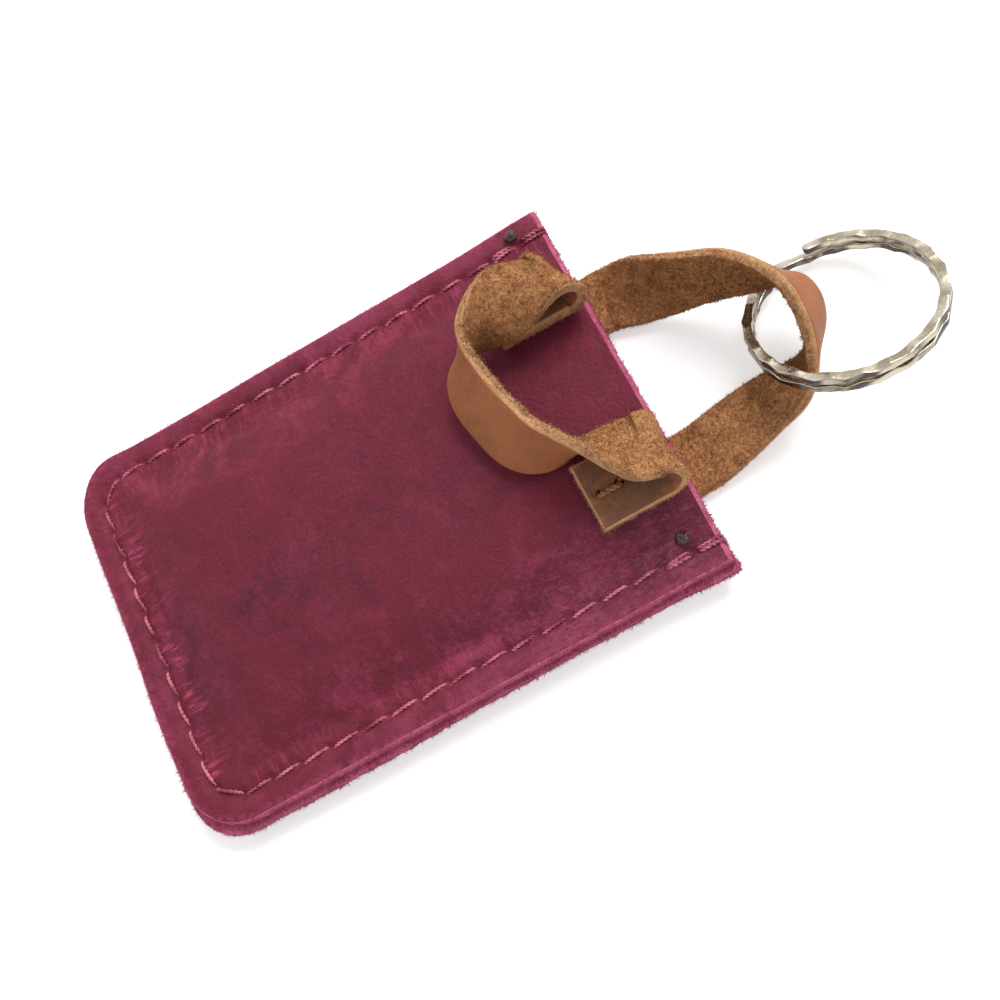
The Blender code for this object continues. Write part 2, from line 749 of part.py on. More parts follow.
def least_coil_gap(points):
    """Give the least gap between the ring's two turns, measured on its points."""
    least = RING_DIAMETER
    for index, (place, _) in enumerate(points):
        for other, _ in points[index + RING_STEPS // 2:]:
            least = min(least, (other - place).length)
    return least - RING_WIRE_HEIGHT


def ring_placement(left, right):
    """Give the matrix that lays the ring's wire through its two crossings.

    The ring's plane holds both crossings and runs level in the direction of the mouth.
    """
    radius = RING_DIAMETER / 2 - RING_WIRE_WIDTH / 2
    chord = (right - left).normalized()
    ahead = Vector((0.0, 1.0, 0.0))
    above = chord.cross(ahead).normalized()
    beyond = above.cross(chord)
    half = (right - left).length / 2
    centre = left.lerp(right, 0.5) + beyond * math.sqrt(radius ** 2 - half ** 2)
    rotation = Matrix((ahead.cross(above), ahead, above)).transposed()
    return Matrix.Translation(centre) @ rotation.to_4x4()


def build_ring(finish, parent, crossings):
    """Build the hammered split ring, threaded round the back handle's arch.

    It swings about the line through its crossings, which the strap's stiffness holds.
    """
    profile = bpy.data.curves.new("ring_wire_profile", "CURVE")
    profile.dimensions = "2D"
    spline = profile.splines.new("POLY")
    spline.points.add(7)
    for index, point in enumerate(spline.points):
        turn = 2 * math.pi * (index + 0.5) / 8
        grow = 1.0 / math.cos(math.pi / 8)
        x = RING_WIRE_WIDTH / 2 * grow * math.cos(turn)
        y = RING_WIRE_HEIGHT / 2 * grow * math.sin(turn)
        point.co = (x, y, 0.0, 1.0)
    spline.use_cyclic_u = True
    section = as_cutter(add_object("ring_wire_profile", profile, finish, CUTTERS))

    curve = bpy.data.curves.new("key_ring", "CURVE")
    curve.dimensions = "3D"
    curve.twist_mode = "Z_UP"
    curve.bevel_mode = "OBJECT"
    curve.bevel_object = section
    curve.use_fill_caps = True
    points = ring_points()
    spline = curve.splines.new("POLY")
    spline.points.add(len(points) - 1)
    for point, (place, dent) in zip(spline.points, points):
        point.co = (*place, 1.0)
        point.radius = dent
    print("least gap between the ring's turns, mm:", round(least_coil_gap(points) * 1000, 3))
    draft = add_object("key_ring", curve, finish)
    left, right = crossings
    draft.matrix_world = ring_placement(left, right)
    ring = curve_to_mesh(draft, MODEL)
    smooth(ring, 40.0)
    pivot = add_pivot("key_ring_pivot", left, right - left)
    hang_on(pivot, parent)
    hang_on(ring, pivot)


def build():
    """Build the whole keychain."""
    panel_leather = material("burgundy_leather", (0.205, 0.032, 0.062), 0.55)
    strap_leather = material("tan_leather", (0.35, 0.15, 0.05), 0.60)
    cut_edge = material("raw_edge", (0.55, 0.18, 0.30), 0.85)
    seam_finish = material("rose_thread", (0.50, 0.09, 0.16), 0.60)
    row_finish = material("brown_thread", (0.14, 0.06, 0.03), 0.65)
    knot_finish = material("melted_thread", (0.06, 0.025, 0.03), 0.35)
    steel = material("hammered_nickel", (0.62, 0.60, 0.54), 0.28, 1.0)
    frames, _ = build_panels(panel_leather, cut_edge)
    build_seam(frames, seam_finish, knot_finish)
    build_front_handle(strap_leather, row_finish)
    pivot, crossings = build_back_handle(strap_leather, row_finish)
    build_ring(steel, pivot, crossings)


build()
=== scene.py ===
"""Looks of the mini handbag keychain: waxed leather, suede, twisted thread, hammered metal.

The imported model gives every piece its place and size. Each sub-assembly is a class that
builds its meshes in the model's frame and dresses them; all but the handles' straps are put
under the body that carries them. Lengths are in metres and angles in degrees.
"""

import logging
import math
from dataclasses import dataclass, field
from enum import Enum
from functools import cache
from typing import Callable, Iterable, Sequence

import bpy
import numpy as np
from mathutils import Matrix, Vector, noise


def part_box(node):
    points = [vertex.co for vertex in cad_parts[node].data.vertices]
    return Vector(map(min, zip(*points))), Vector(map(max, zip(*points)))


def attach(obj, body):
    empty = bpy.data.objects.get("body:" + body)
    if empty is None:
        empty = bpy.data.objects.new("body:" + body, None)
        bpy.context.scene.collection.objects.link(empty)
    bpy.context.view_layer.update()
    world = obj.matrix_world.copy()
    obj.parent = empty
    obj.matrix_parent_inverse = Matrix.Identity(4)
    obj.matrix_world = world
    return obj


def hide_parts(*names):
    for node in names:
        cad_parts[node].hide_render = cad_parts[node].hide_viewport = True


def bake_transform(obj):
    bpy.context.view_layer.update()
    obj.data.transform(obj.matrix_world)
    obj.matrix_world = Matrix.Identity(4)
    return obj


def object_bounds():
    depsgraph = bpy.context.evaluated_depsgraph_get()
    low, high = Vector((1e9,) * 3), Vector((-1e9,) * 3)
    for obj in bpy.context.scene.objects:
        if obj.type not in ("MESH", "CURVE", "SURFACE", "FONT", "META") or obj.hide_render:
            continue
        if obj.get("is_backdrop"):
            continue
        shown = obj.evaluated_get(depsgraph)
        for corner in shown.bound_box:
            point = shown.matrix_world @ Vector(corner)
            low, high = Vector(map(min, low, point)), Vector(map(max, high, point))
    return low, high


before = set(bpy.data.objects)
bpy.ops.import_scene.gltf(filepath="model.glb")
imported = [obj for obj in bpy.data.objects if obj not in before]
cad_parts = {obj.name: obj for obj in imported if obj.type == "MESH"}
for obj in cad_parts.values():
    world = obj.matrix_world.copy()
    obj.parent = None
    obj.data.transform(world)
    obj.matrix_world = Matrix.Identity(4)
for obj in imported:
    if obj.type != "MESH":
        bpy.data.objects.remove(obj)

CAD_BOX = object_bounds()
log = logging.getLogger("keychain")

Array = np.ndarray
Colour = tuple[float, float, float]
Spot = tuple[float, float, float]
Pair = tuple[float, float]
Zone = tuple[Spot, Spot, float]
Quad = tuple[int, ...]
Socket = bpy.types.NodeSocket

# The pouch's plan, which its shapes and its grain share
POUCH_HALF_WIDTH = 0.0250
POUCH_LOW_Y = -0.03425
POUCH_MOUTH_Y = 0.03425
POUCH_CORNER = 0.0070
SHEEN_ROUGHNESS = 0.6

# A fibre is two rings of three points and a tip
FIBRE_POINTS = 7
FIBRE_TURNS = (0.0, 2.0944, 4.1888)
FIBRE_FACES = ((0, 2, 1), (0, 1, 4, 3), (1, 2, 5, 4), (2, 0, 3, 5), (3, 4, 6), (4, 5, 6), (5, 3, 6))


class Side(Enum):
    """The two ends of the mouth, seen from the front."""

    RIGHT = 1
    LEFT = -1


class Surface(Enum):
    """The three kinds of surface that a piece of leather has."""

    GRAIN = 0
    FLESH = 1
    CUT = 2


def srgb(red: int, green: int, blue: int) -> Colour:
    """Turn a colour of 0 to 255 steps into the linear values that shaders take.

    Args:
        red: Red step.
        green: Green step.
        blue: Blue step.

    Returns:
        The linear colour.
    """
    def linear(step: int) -> float:
        """Give one channel's linear value."""
        share = step / 255.0
        return share / 12.92 if share <= 0.04045 else ((share + 0.055) / 1.055) ** 2.4

    return linear(red), linear(green), linear(blue)


def unit(vectors: Array) -> Array:
    """Give the vectors, one a row, at length one."""
    return vectors / np.maximum(np.linalg.norm(vectors, axis=-1, keepdims=True), 1e-12)


def lumps(points: Array, size: float, seed: float) -> Array:
    """Give smooth noise from about -1 to 1 at each point.

    Args:
        points: One point a row, with two or three coordinates.
        size: How far apart the lumps lie.
        seed: Shifts the pattern, so that two uses differ.

    Returns:
        One value for each point.
    """
    shift = Vector((seed, -2.0 * seed, 3.0 * seed))
    if points.shape[1] == 2:
        points = np.column_stack([points, np.zeros(len(points))])
    return np.array([noise.noise(Vector(point) + shift) for point in (points / size).tolist()])


def ring_turns(count: int) -> Array:
    """Give a full turn's evenly spaced angles, in radians."""
    return np.linspace(0.0, 2.0 * math.pi, count, endpoint=False)


def lengths_along(points: Array) -> Array:
    """Give how far along its line each point lies."""
    steps = np.linalg.norm(np.diff(points, axis=0), axis=1)
    return np.concatenate([[0.0], np.cumsum(steps)])


def layered(points: Array, seed: float, layers: Sequence[Spot]) -> Array:
    """Add up layers of lumps, each with its depth, its size and its own seed."""
    return sum(depth * lumps(points, size, seed + own) for depth, size, own in layers)


def smoothstep(values: Array) -> Array:
    """Ease values from 0 to 1, held at both ends."""
    held = np.clip(values, 0.0, 1.0)
    return held * held * (3.0 - 2.0 * held)


def bell(values: Array, width: float) -> Array:
    """Give a bell curve that is 1 at zero and about a third at one width."""
    return np.exp(-((values / width) ** 2))


# Meshes


@dataclass
class MeshDraft:
    """Points and faces gathered for one piece, with a material slot for each face."""

    points: list[Array] = field(default_factory=list)
    faces: list[Quad] = field(default_factory=list)
    slots: list[int] = field(default_factory=list)
    weights: list[Array] = field(default_factory=list)
    count: int = 0

    def add(self, points: Array, faces: Iterable[Quad], slot: int | Sequence[int],
            weights: Array | None = None) -> None:
        """Add points and the faces between them.

        Args:
            points: One point a row.
            faces: Faces, counted from this call's first point.
            slot: The material slot of all faces, or one for each.
            weights: How far each point follows the moving body, 0 if left out.
        """
        shifted = [tuple(self.count + index for index in face) for face in faces]
        self.points.append(points)
        self.faces.extend(shifted)
        self.slots.extend([slot] * len(shifted) if isinstance(slot, int) else slot)
        self.weights.append(np.zeros(len(points)) if weights is None else weights)
        self.count += len(points)

    def build(self, name: str, materials: Sequence[bpy.types.Material]) -> bpy.types.Object:
        """Make the smooth mesh object.

        Args:
            name: The piece's name.
            materials: The materials that the slots count.

        Returns:
            The object, linked to the scene.
        """
        mesh = bpy.data.meshes.new(name)
        mesh.from_pydata(np.concatenate(self.points).tolist(), [], self.faces)
        for material in materials:
            mesh.materials.append(material)
        mesh.polygons.foreach_set("material_index", self.slots)
        mesh.polygons.foreach_set("use_smooth", [True] * len(self.faces))
        mesh.update()
        thing = bpy.data.objects.new(name, mesh)
        bpy.context.scene.collection.objects.link(thing)
        log.info("%s: %d faces", name, len(self.faces))
        return thing


@dataclass(frozen=True)
class Slab:
    """The surface of a box lattice: the raw form that every cut piece of leather has.

    The shares run from 0 to 1 across, along and through the piece, and needn't be even.
    """

    across: Array
    along: Array
    through: Array

    def surface(self) -> tuple[Array, list[Quad], list[str]]:
        """Build the lattice's six sides.

        Returns:
            The shares of each point, the faces, and each face's side: low or high for
            the two broad ones, edge for the others.
        """
        counts = (len(self.across), len(self.along), len(self.through))
        shell = np.zeros(counts, bool)
        shell[[0, -1], :, :] = True
        shell[:, [0, -1], :] = True
        shell[:, :, [0, -1]] = True
        index = np.full(counts, -1)
        index[shell] = np.arange(shell.sum())
        i, j, k = np.nonzero(shell)
        shares = np.column_stack([self.across[i], self.along[j], self.through[k]])
        faces: list[Quad] = []
        sides: list[str] = []
        for grid, flip, side in (
            (index[:, :, -1], False, "high"), (index[:, :, 0], True, "low"),
            (index[:, 0, :], False, "edge"), (index[:, -1, :], True, "edge"),
            (index[0, :, :], True, "edge"), (index[-1, :, :], False, "edge"),
        ):
            corners = [grid[:-1, :-1], grid[1:, :-1], grid[1:, 1:], grid[:-1, 1:]]
            if flip:
                corners.reverse()
            quads = np.stack(corners, axis=-1).reshape(-1, 4)
            faces.extend(map(tuple, quads.tolist()))
            sides.extend([side] * len(quads))
        return shares, faces, sides


def leather_slots(sides: Sequence[str], grain_up: bool, raw_grain: Array,
                  raw_flesh: Array | bool = False) -> list[int]:
    """Give each face's material slot, with raw leather where its own side has worn off.

    Args:
        sides: The side of the lattice that each face lies on.
        grain_up: Whether the grain is on the lattice's high side.
        raw_grain: Which faces are raw if they lie on the grain side.
        raw_flesh: Which faces are raw if they lie on the flesh side.

    Returns:
        The slots.
    """
    grain, flesh, cut = (kind.value for kind in Surface)
    high, low = (grain, flesh) if grain_up else (flesh, grain)
    slot_of = {"high": high, "low": low, "edge": cut}
    slots = np.array([slot_of[side] for side in sides])
    slots[np.where(slots == grain, raw_grain, raw_flesh)] = cut
    return slots.tolist()


@dataclass(frozen=True)
class Fibres:
    """Loose fibres that stand off raw leather, each a thin bent spike."""

    shortest: float
    longest: float
    radius: float
    seed: int
    lean_share: float
    bend_share: float
    girths: Pair = (0.6, 1.3)
    middle_girth: float = 0.7

    def grow(self, draft: MeshDraft, roots: Array, normals: Array, slot: int,
             weights: Array | None = None) -> None:
        """Add a fibre at each root.

        Args:
            draft: The piece that the fibres join.
            roots: Where they start, one point a row.
            normals: The way that the surface faces there.
            slot: Their material slot.
            weights: How far each root follows the moving body.
        """
        random = np.random.default_rng(self.seed)
        count = len(roots)
        spread = self.longest - self.shortest
        lengths = self.shortest + spread * random.uniform(0.0, 1.0, (count, 1)) ** 2
        girth = self.radius * random.uniform(*self.girths, (count, 1))
        lean = unit(normals + random.normal(0.0, self.lean_share, (count, 3)))
        droop = unit(lean + random.normal(0.0, self.bend_share, (count, 3)))
        side = unit(np.cross(lean, random.normal(0.0, 1.0, (count, 3))))
        other = np.cross(lean, side)
        middle = roots + lean * lengths * 0.5
        tip = middle + droop * lengths * 0.5
        start = roots - lean * self.radius * 2.0
        rings = [centre + radius * (math.cos(turn) * side + math.sin(turn) * other)
                 for centre, radius in ((start, girth), (middle, girth * self.middle_girth))
                 for turn in FIBRE_TURNS]
        points = np.stack([*rings, tip], axis=1).reshape(-1, 3)
        faces = [tuple(FIBRE_POINTS * hair + index for index in face)
                 for hair in range(count) for face in FIBRE_FACES]
        repeated = None if weights is None else np.repeat(weights, FIBRE_POINTS)
        draft.add(points, faces, slot, repeated)


@dataclass(frozen=True)
class TwistedTube:
    """A waxed thread: plies of round section twisted about a path."""

    radius: float
    lay: float
    plies: int = 2
    sides: int = 6
    spacing: float = 0.00022
    path_steps: int = 10
    ply_share: float = 0.60
    tip_start: float = 0.0001
    tip_length: float = 0.0003
    steep: float = 0.1

    def sweep(self, draft: MeshDraft, path: Array, slot: int) -> None:
        """Add the thread along a path.

        Args:
            draft: The piece that the thread joins.
            path: Points that the thread's middle passes, one a row.
            slot: Its material slot.
        """
        line = resample(curve_through(path, self.path_steps), self.spacing)
        ahead = unit(np.gradient(line, axis=0))
        normal = np.zeros_like(line)
        start = np.cross(ahead[0], (0.0, 0.0, 1.0))
        if np.linalg.norm(start) <= self.steep:
            start = np.cross(ahead[0], (1.0, 0.0, 0.0))
        normal[0] = unit(start)
        for step in range(1, len(line)):
            turned = normal[step - 1] - ahead[step] * (normal[step - 1] @ ahead[step])
            normal[step] = turned / np.linalg.norm(turned)
        binormal = np.cross(ahead, normal)
        lengths = lengths_along(line)
        from_tip = np.minimum(lengths, lengths[-1] - lengths)
        taper = np.minimum(1.0, (from_tip + self.tip_start) / self.tip_length)
        ply = self.radius * self.ply_share
        offset = self.radius - ply
        angles = np.arange(self.sides) * 2.0 * math.pi / self.sides
        for index in range(self.plies):
            turn = 2.0 * math.pi * (lengths / self.lay + index / self.plies)
            centre = line + offset * (np.cos(turn)[:, None] * normal
                                      + np.sin(turn)[:, None] * binormal)
            ring = (centre[:, None] + (ply * taper)[:, None, None]
                    * (np.cos(angles)[None, :, None] * normal[:, None]
                       + np.sin(angles)[None, :, None] * binormal[:, None]))
            add_tube(draft, ring, slot)


def add_tube(draft: MeshDraft, rings: Array, slot: int) -> None:
    """Add a tube with closed ends.

    Args:
        draft: The piece that the tube joins.
        rings: Points by ring and place in the ring.
        slot: Its material slot.
    """
    steps, sides = rings.shape[:2]
    index = np.arange(steps * sides).reshape(steps, sides)
    around = np.roll(index, -1, axis=1)
    quads = np.stack([index[:-1], around[:-1], around[1:], index[1:]], axis=-1).reshape(-1, 4)
    faces = [tuple(quad) for quad in quads.tolist()]
    faces.append(tuple(index[0, ::-1].tolist()))
    faces.append(tuple(index[-1].tolist()))
    draft.add(rings.reshape(-1, 3), faces, slot)


def spline(rows: Array, steps: int) -> Array:
    """Give a smooth curve through all rows but the first and the last.

    Args:
        rows: The rows, with one more before the start and after the end.
        steps: How many steps it takes from row to row.

    Returns:
        The rows along the curve.
    """
    a, b, c, d = (part[:, None, :] for part in (rows[:-3], rows[1:-2], rows[2:-1], rows[3:]))
    t = (np.arange(steps) / steps)[None, :, None]
    made = (2 * b + (c - a) * t + (2 * a - 5 * b + 4 * c - d) * t ** 2
            + (3 * b - a - 3 * c + d) * t ** 3) / 2
    return np.concatenate([made.reshape(-1, rows.shape[1]), rows[-2:-1]])


def curve_through(rows: Array, steps: int) -> Array:
    """Give a smooth curve through rows of values.

    Args:
        rows: The rows that the curve passes.
        steps: How many steps it takes from row to row.

    Returns:
        The rows along the curve.
    """
    rows = np.asarray(rows, float)
    ends = [2 * rows[0] - rows[1]], [2 * rows[-1] - rows[-2]]
    return spline(np.concatenate([ends[0], rows, ends[1]]), steps)


def resample(rows: Array, spacing: float) -> Array:
    """Space rows evenly by the distance between their first three values.

    Args:
        rows: The rows, of which the first three values are a point.
        spacing: About how far apart the new rows lie.

    Returns:
        The new rows.
    """
    steps = np.linalg.norm(np.diff(rows[:, :3], axis=0), axis=1)
    rows = rows[np.concatenate([[True], steps > 1e-9])]
    lengths = lengths_along(rows[:, :3])
    places = np.linspace(0.0, lengths[-1], max(2, round(lengths[-1] / spacing) + 1))
    return np.column_stack([np.interp(places, lengths, column) for column in rows.T])


# Shader groups and materials


class NodeBoard:
    """A node tree being wired: a material's or a group's."""

    def __init__(self, tree: bpy.types.NodeTree) -> None:
        """Start on a tree."""
        self.tree = tree

    def node(self, kind: str, **settings: object) -> bpy.types.Node:
        """Add a node.

        Args:
            kind: The node's type.
            **settings: Its properties.

        Returns:
            The node.
        """
        made = self.tree.nodes.new(kind)
        for name, value in settings.items():
            setattr(made, name, value)
        return made

    def feed(self, socket: Socket, value: object) -> None:
        """Link a socket to a socket, or set it to a value.

        Args:
            socket: The input.
            value: An output socket, a number, a vector or a colour.
        """
        if isinstance(value, Socket):
            self.tree.links.new(value, socket)
        elif isinstance(value, (int, float)):
            socket.default_value = value
        else:
            wide = len(socket.default_value)
            socket.default_value = (*value, 1.0)[:wide]

    def math(self, operation: str, first: object, second: object = 0.0,
             third: object = 0.0) -> Socket:
        """Add a Math node.

        Args:
            operation: What it works out.
            first: Its first value.
            second: Its second value.
            third: Its third value.

        Returns:
            Its output.
        """
        made = self.node("ShaderNodeMath", operation=operation)
        for socket, value in zip(made.inputs, (first, second, third)):
            self.feed(socket, value)
        return made.outputs[0]

    def mix(self, share: object, low: object, high: object) -> Socket:
        """Mix two colours.

        Args:
            share: How much of the second is taken.
            low: The first colour.
            high: The second colour.

        Returns:
            The mixed colour.
        """
        # The Mix node's colour inputs are its sockets 6 and 7, its colour output socket 2
        made = self.node("ShaderNodeMix", data_type="RGBA")
        for socket, value in ((0, share), (6, low), (7, high)):
            self.feed(made.inputs[socket], value)
        return made.outputs[2]

    def times(self, first: object, second: object) -> Socket:
        """Multiply two numbers."""
        return self.math("MULTIPLY", first, second)

    def dress(self, shader: bpy.types.Node, **inputs: object) -> None:
        """Feed a shader's inputs, each named in small letters."""
        for name, value in inputs.items():
            self.feed(shader.inputs[name.replace("_", " ").title()], value)

    def vector(self, operation: str, first: object, second: object) -> Socket:
        """Add a Vector Math node.

        Args:
            operation: What it works out.
            first: Its first vector.
            second: Its second vector.

        Returns:
            Its output.
        """
        made = self.node("ShaderNodeVectorMath", operation=operation)
        self.feed(made.inputs[0], first)
        self.feed(made.inputs[1], second)
        return made.outputs["Value" if operation in ("DISTANCE", "DOT_PRODUCT") else "Vector"]

    def remap(self, value: object, low: float, high: float, to_low: float = 0.0,
              to_high: float = 1.0) -> Socket:
        """Move a value from one range to another, smoothly and held at both ends.

        Args:
            value: The value.
            low: Where the first range starts.
            high: Where it ends.
            to_low: Where the new range starts.
            to_high: Where it ends.

        Returns:
            The new value.
        """
        made = self.node("ShaderNodeMapRange", interpolation_type="SMOOTHSTEP")
        for socket, number in zip(made.inputs, (value, low, high, to_low, to_high)):
            self.feed(socket, number)
        return made.outputs[0]

    def place(self) -> Socket:
        """Give the point on the piece, in the frame's metres."""
        return self.node("ShaderNodeTexCoord").outputs["Object"]

    def noise(self, size: object, detail: float = 4.0, roughness: float = 0.5,
              stretch: Spot = (1.0, 1.0, 1.0), distortion: float = 0.0) -> Socket:
        """Add noise of a real size.

        Args:
            size: How far apart its lumps lie, as a number or a socket.
            detail: How many finer layers it has.
            roughness: How strong the finer layers are.
            stretch: How much denser it lies along each axis.
            distortion: How much it is swirled.

        Returns:
            Its value, about 0 to 1.
        """
        made = self.node("ShaderNodeTexNoise")
        for socket, value in (("Detail", detail), ("Roughness", roughness), ("Scale", 1.0),
                              ("Distortion", distortion), ("Vector", self.scaled(size, stretch))):
            self.feed(made.inputs[socket], value)
        return made.outputs[0]

    def scaled(self, size: object, stretch: Spot = (1.0, 1.0, 1.0)) -> Socket:
        """Give the point on the piece, counted in lumps of a size.

        Args:
            size: The lump's size, as a number or a socket.
            stretch: How much denser the lumps lie along each axis.

        Returns:
            The scaled point.
        """
        made = self.node("ShaderNodeVectorMath", operation="SCALE")
        self.feed(made.inputs[0], self.vector("MULTIPLY", self.place(), stretch))
        self.feed(made.inputs["Scale"], self.math("DIVIDE", 1.0, size))
        return made.outputs[0]

    def bump(self, height: object, depth: float) -> Socket:
        """Turn a height of 0 to 1 into a bumped normal.

        Args:
            height: The height.
            depth: How deep its whole range is, in metres.

        Returns:
            The normal.
        """
        made = self.node("ShaderNodeBump")
        self.feed(made.inputs["Distance"], depth)
        self.feed(made.inputs["Height"], height)
        return made.outputs[0]


class GroupShelf:
    """The shader groups that several materials share, each built once."""

    def __init__(self) -> None:
        """Start with no groups."""
        self.made: dict[str, bpy.types.NodeTree] = {}

    def place(self, board: NodeBoard, name: str, **values: float) -> bpy.types.Node:
        """Put a group into a material.

        Args:
            board: The material's board.
            name: The group's name, which is also the method that builds it.
            **values: What its inputs are set to.

        Returns:
            The group's node.
        """
        if name not in self.made:
            self.made[name] = getattr(self, name)()
        node = board.node("ShaderNodeGroup", node_tree=self.made[name])
        for socket, value in values.items():
            node.inputs[socket.replace("_", " ").capitalize()].default_value = value
        return node

    @staticmethod
    def start(name: str, inputs: dict[str, float], outputs: Sequence[str]) -> tuple[
            NodeBoard, bpy.types.Node, bpy.types.Node]:
        """Start a group with its sockets.

        Args:
            name: The group's name.
            inputs: Its inputs and their values.
            outputs: Its outputs.

        Returns:
            The group's board, its input node and its output node.
        """
        tree = bpy.data.node_groups.new(name, "ShaderNodeTree")
        for label, value in inputs.items():
            socket = tree.interface.new_socket(label, in_out="INPUT", socket_type="NodeSocketFloat")
            socket.default_value = value
        for label in outputs:
            tree.interface.new_socket(label, in_out="OUTPUT", socket_type="NodeSocketFloat")
        board = NodeBoard(tree)
        return board, board.node("NodeGroupInput"), board.node("NodeGroupOutput")

    def leather_grain(self) -> bpy.types.NodeTree:
        """Build the pebbled grain of smooth leather, with its wrinkles and pores.

        Returns:
            The group, which gives Height and Pores from a pebble Size and Wrinkle share.
        """
        board, given, result = self.start(
            "leather_grain", {"Size": 0.0006, "Wrinkle": 0.5}, ("Height", "Pores"))
        size = given.outputs["Size"]
        pebbles = board.node("ShaderNodeTexVoronoi", feature="SMOOTH_F1")
        pebbles.inputs["Scale"].default_value = 1.0
        pebbles.inputs["Smoothness"].default_value = 0.7
        board.feed(pebbles.inputs["Vector"], board.scaled(size))
        pebble = board.remap(pebbles.outputs["Distance"], 0.15, 0.85)
        broad = board.times(size, 5.0)
        wrinkle = board.noise(broad, 6.0, 0.65, distortion=0.6)
        ridges = board.math("ABSOLUTE", board.math("SUBTRACT", wrinkle, 0.5))
        folds = board.remap(ridges, 0.0, 0.12)
        fine = board.noise(size, 5.0, 0.7)
        body = board.math("MULTIPLY_ADD", fine, 0.5, board.times(pebble, -0.45))
        height = board.math("MULTIPLY_ADD", folds, given.outputs["Wrinkle"], body)
        board.feed(result.inputs["Height"], height)
        board.feed(result.inputs["Pores"], board.remap(fine, 0.30, 0.46, 1.0, 0.0))
        return board.tree

    def suede_nap(self) -> bpy.types.NodeTree:
        """Build the nap of raw leather: short matted fibres in tufts.

        Returns:
            The group, which gives Height and Tone from a tuft Size.
        """
        board, given, result = self.start("suede_nap", {"Size": 0.0004}, ("Height", "Tone"))
        size = given.outputs["Size"]
        tufts = board.noise(size, 8.0, 0.72, distortion=1.2)
        third = board.times(size, 0.3)
        strands = board.noise(third, 4.0, 0.7, (1.0, 0.45, 1.6), 2.0)
        broad = board.noise(board.times(size, 6.0), 3.0, 0.6)
        height = board.math("MULTIPLY_ADD", strands, 0.45, tufts)
        tone = board.math("MULTIPLY_ADD", strands, 0.55, board.times(tufts, 0.75))
        board.feed(result.inputs["Height"], height)
        spread = board.math("MULTIPLY_ADD", broad, 0.25, tone)
        board.feed(result.inputs["Tone"], board.remap(spread, 0.60, 0.98))
        return board.tree

    def cloudy_wear(self) -> bpy.types.NodeTree:
        """Build the cloudy marks that handling leaves on waxed leather.

        Returns:
            The group, which gives a Mask from a cloud Size and the Cover that it has.
        """
        board, given, result = self.start("cloudy_wear", {"Size": 0.01, "Cover": 0.5}, ("Mask",))
        size = given.outputs["Size"]
        clouds = board.noise(size, 9.0, 0.62, distortion=0.8)
        small = board.times(size, 0.12)
        specks = board.noise(small, 5.0, 0.7)
        both = board.math("MULTIPLY_ADD", specks, 0.35, board.times(clouds, 0.65))
        lifted = board.math("MULTIPLY_ADD", given.outputs["Cover"], 0.3, both)
        board.feed(result.inputs["Mask"], board.remap(lifted, 0.55, 0.80))
        return board.tree


SHELF = GroupShelf()


def new_material(name: str, roughness: float, metallic: float = 0.0, specular: float = 0.5,
                 sheen: float = 0.0) -> tuple[bpy.types.Material, NodeBoard, bpy.types.Node]:
    """Start a material on a Principled shader.

    Args:
        name: The material's name.
        roughness: Its roughness where nothing feeds it.
        metallic: 1 for bare metal.
        specular: Its specular level.
        sheen: The weight of its sheen.

    Returns:
        The material, its board and its shader.
    """
    material = bpy.data.materials.new(name)
    material.use_nodes = True
    board = NodeBoard(material.node_tree)
    shader = material.node_tree.nodes["Principled BSDF"]
    shader.inputs["Specular IOR Level"].default_value = specular
    board.dress(shader, roughness=roughness, metallic=metallic, sheen_weight=sheen,
                sheen_roughness=SHEEN_ROUGHNESS)
    return material, board, shader


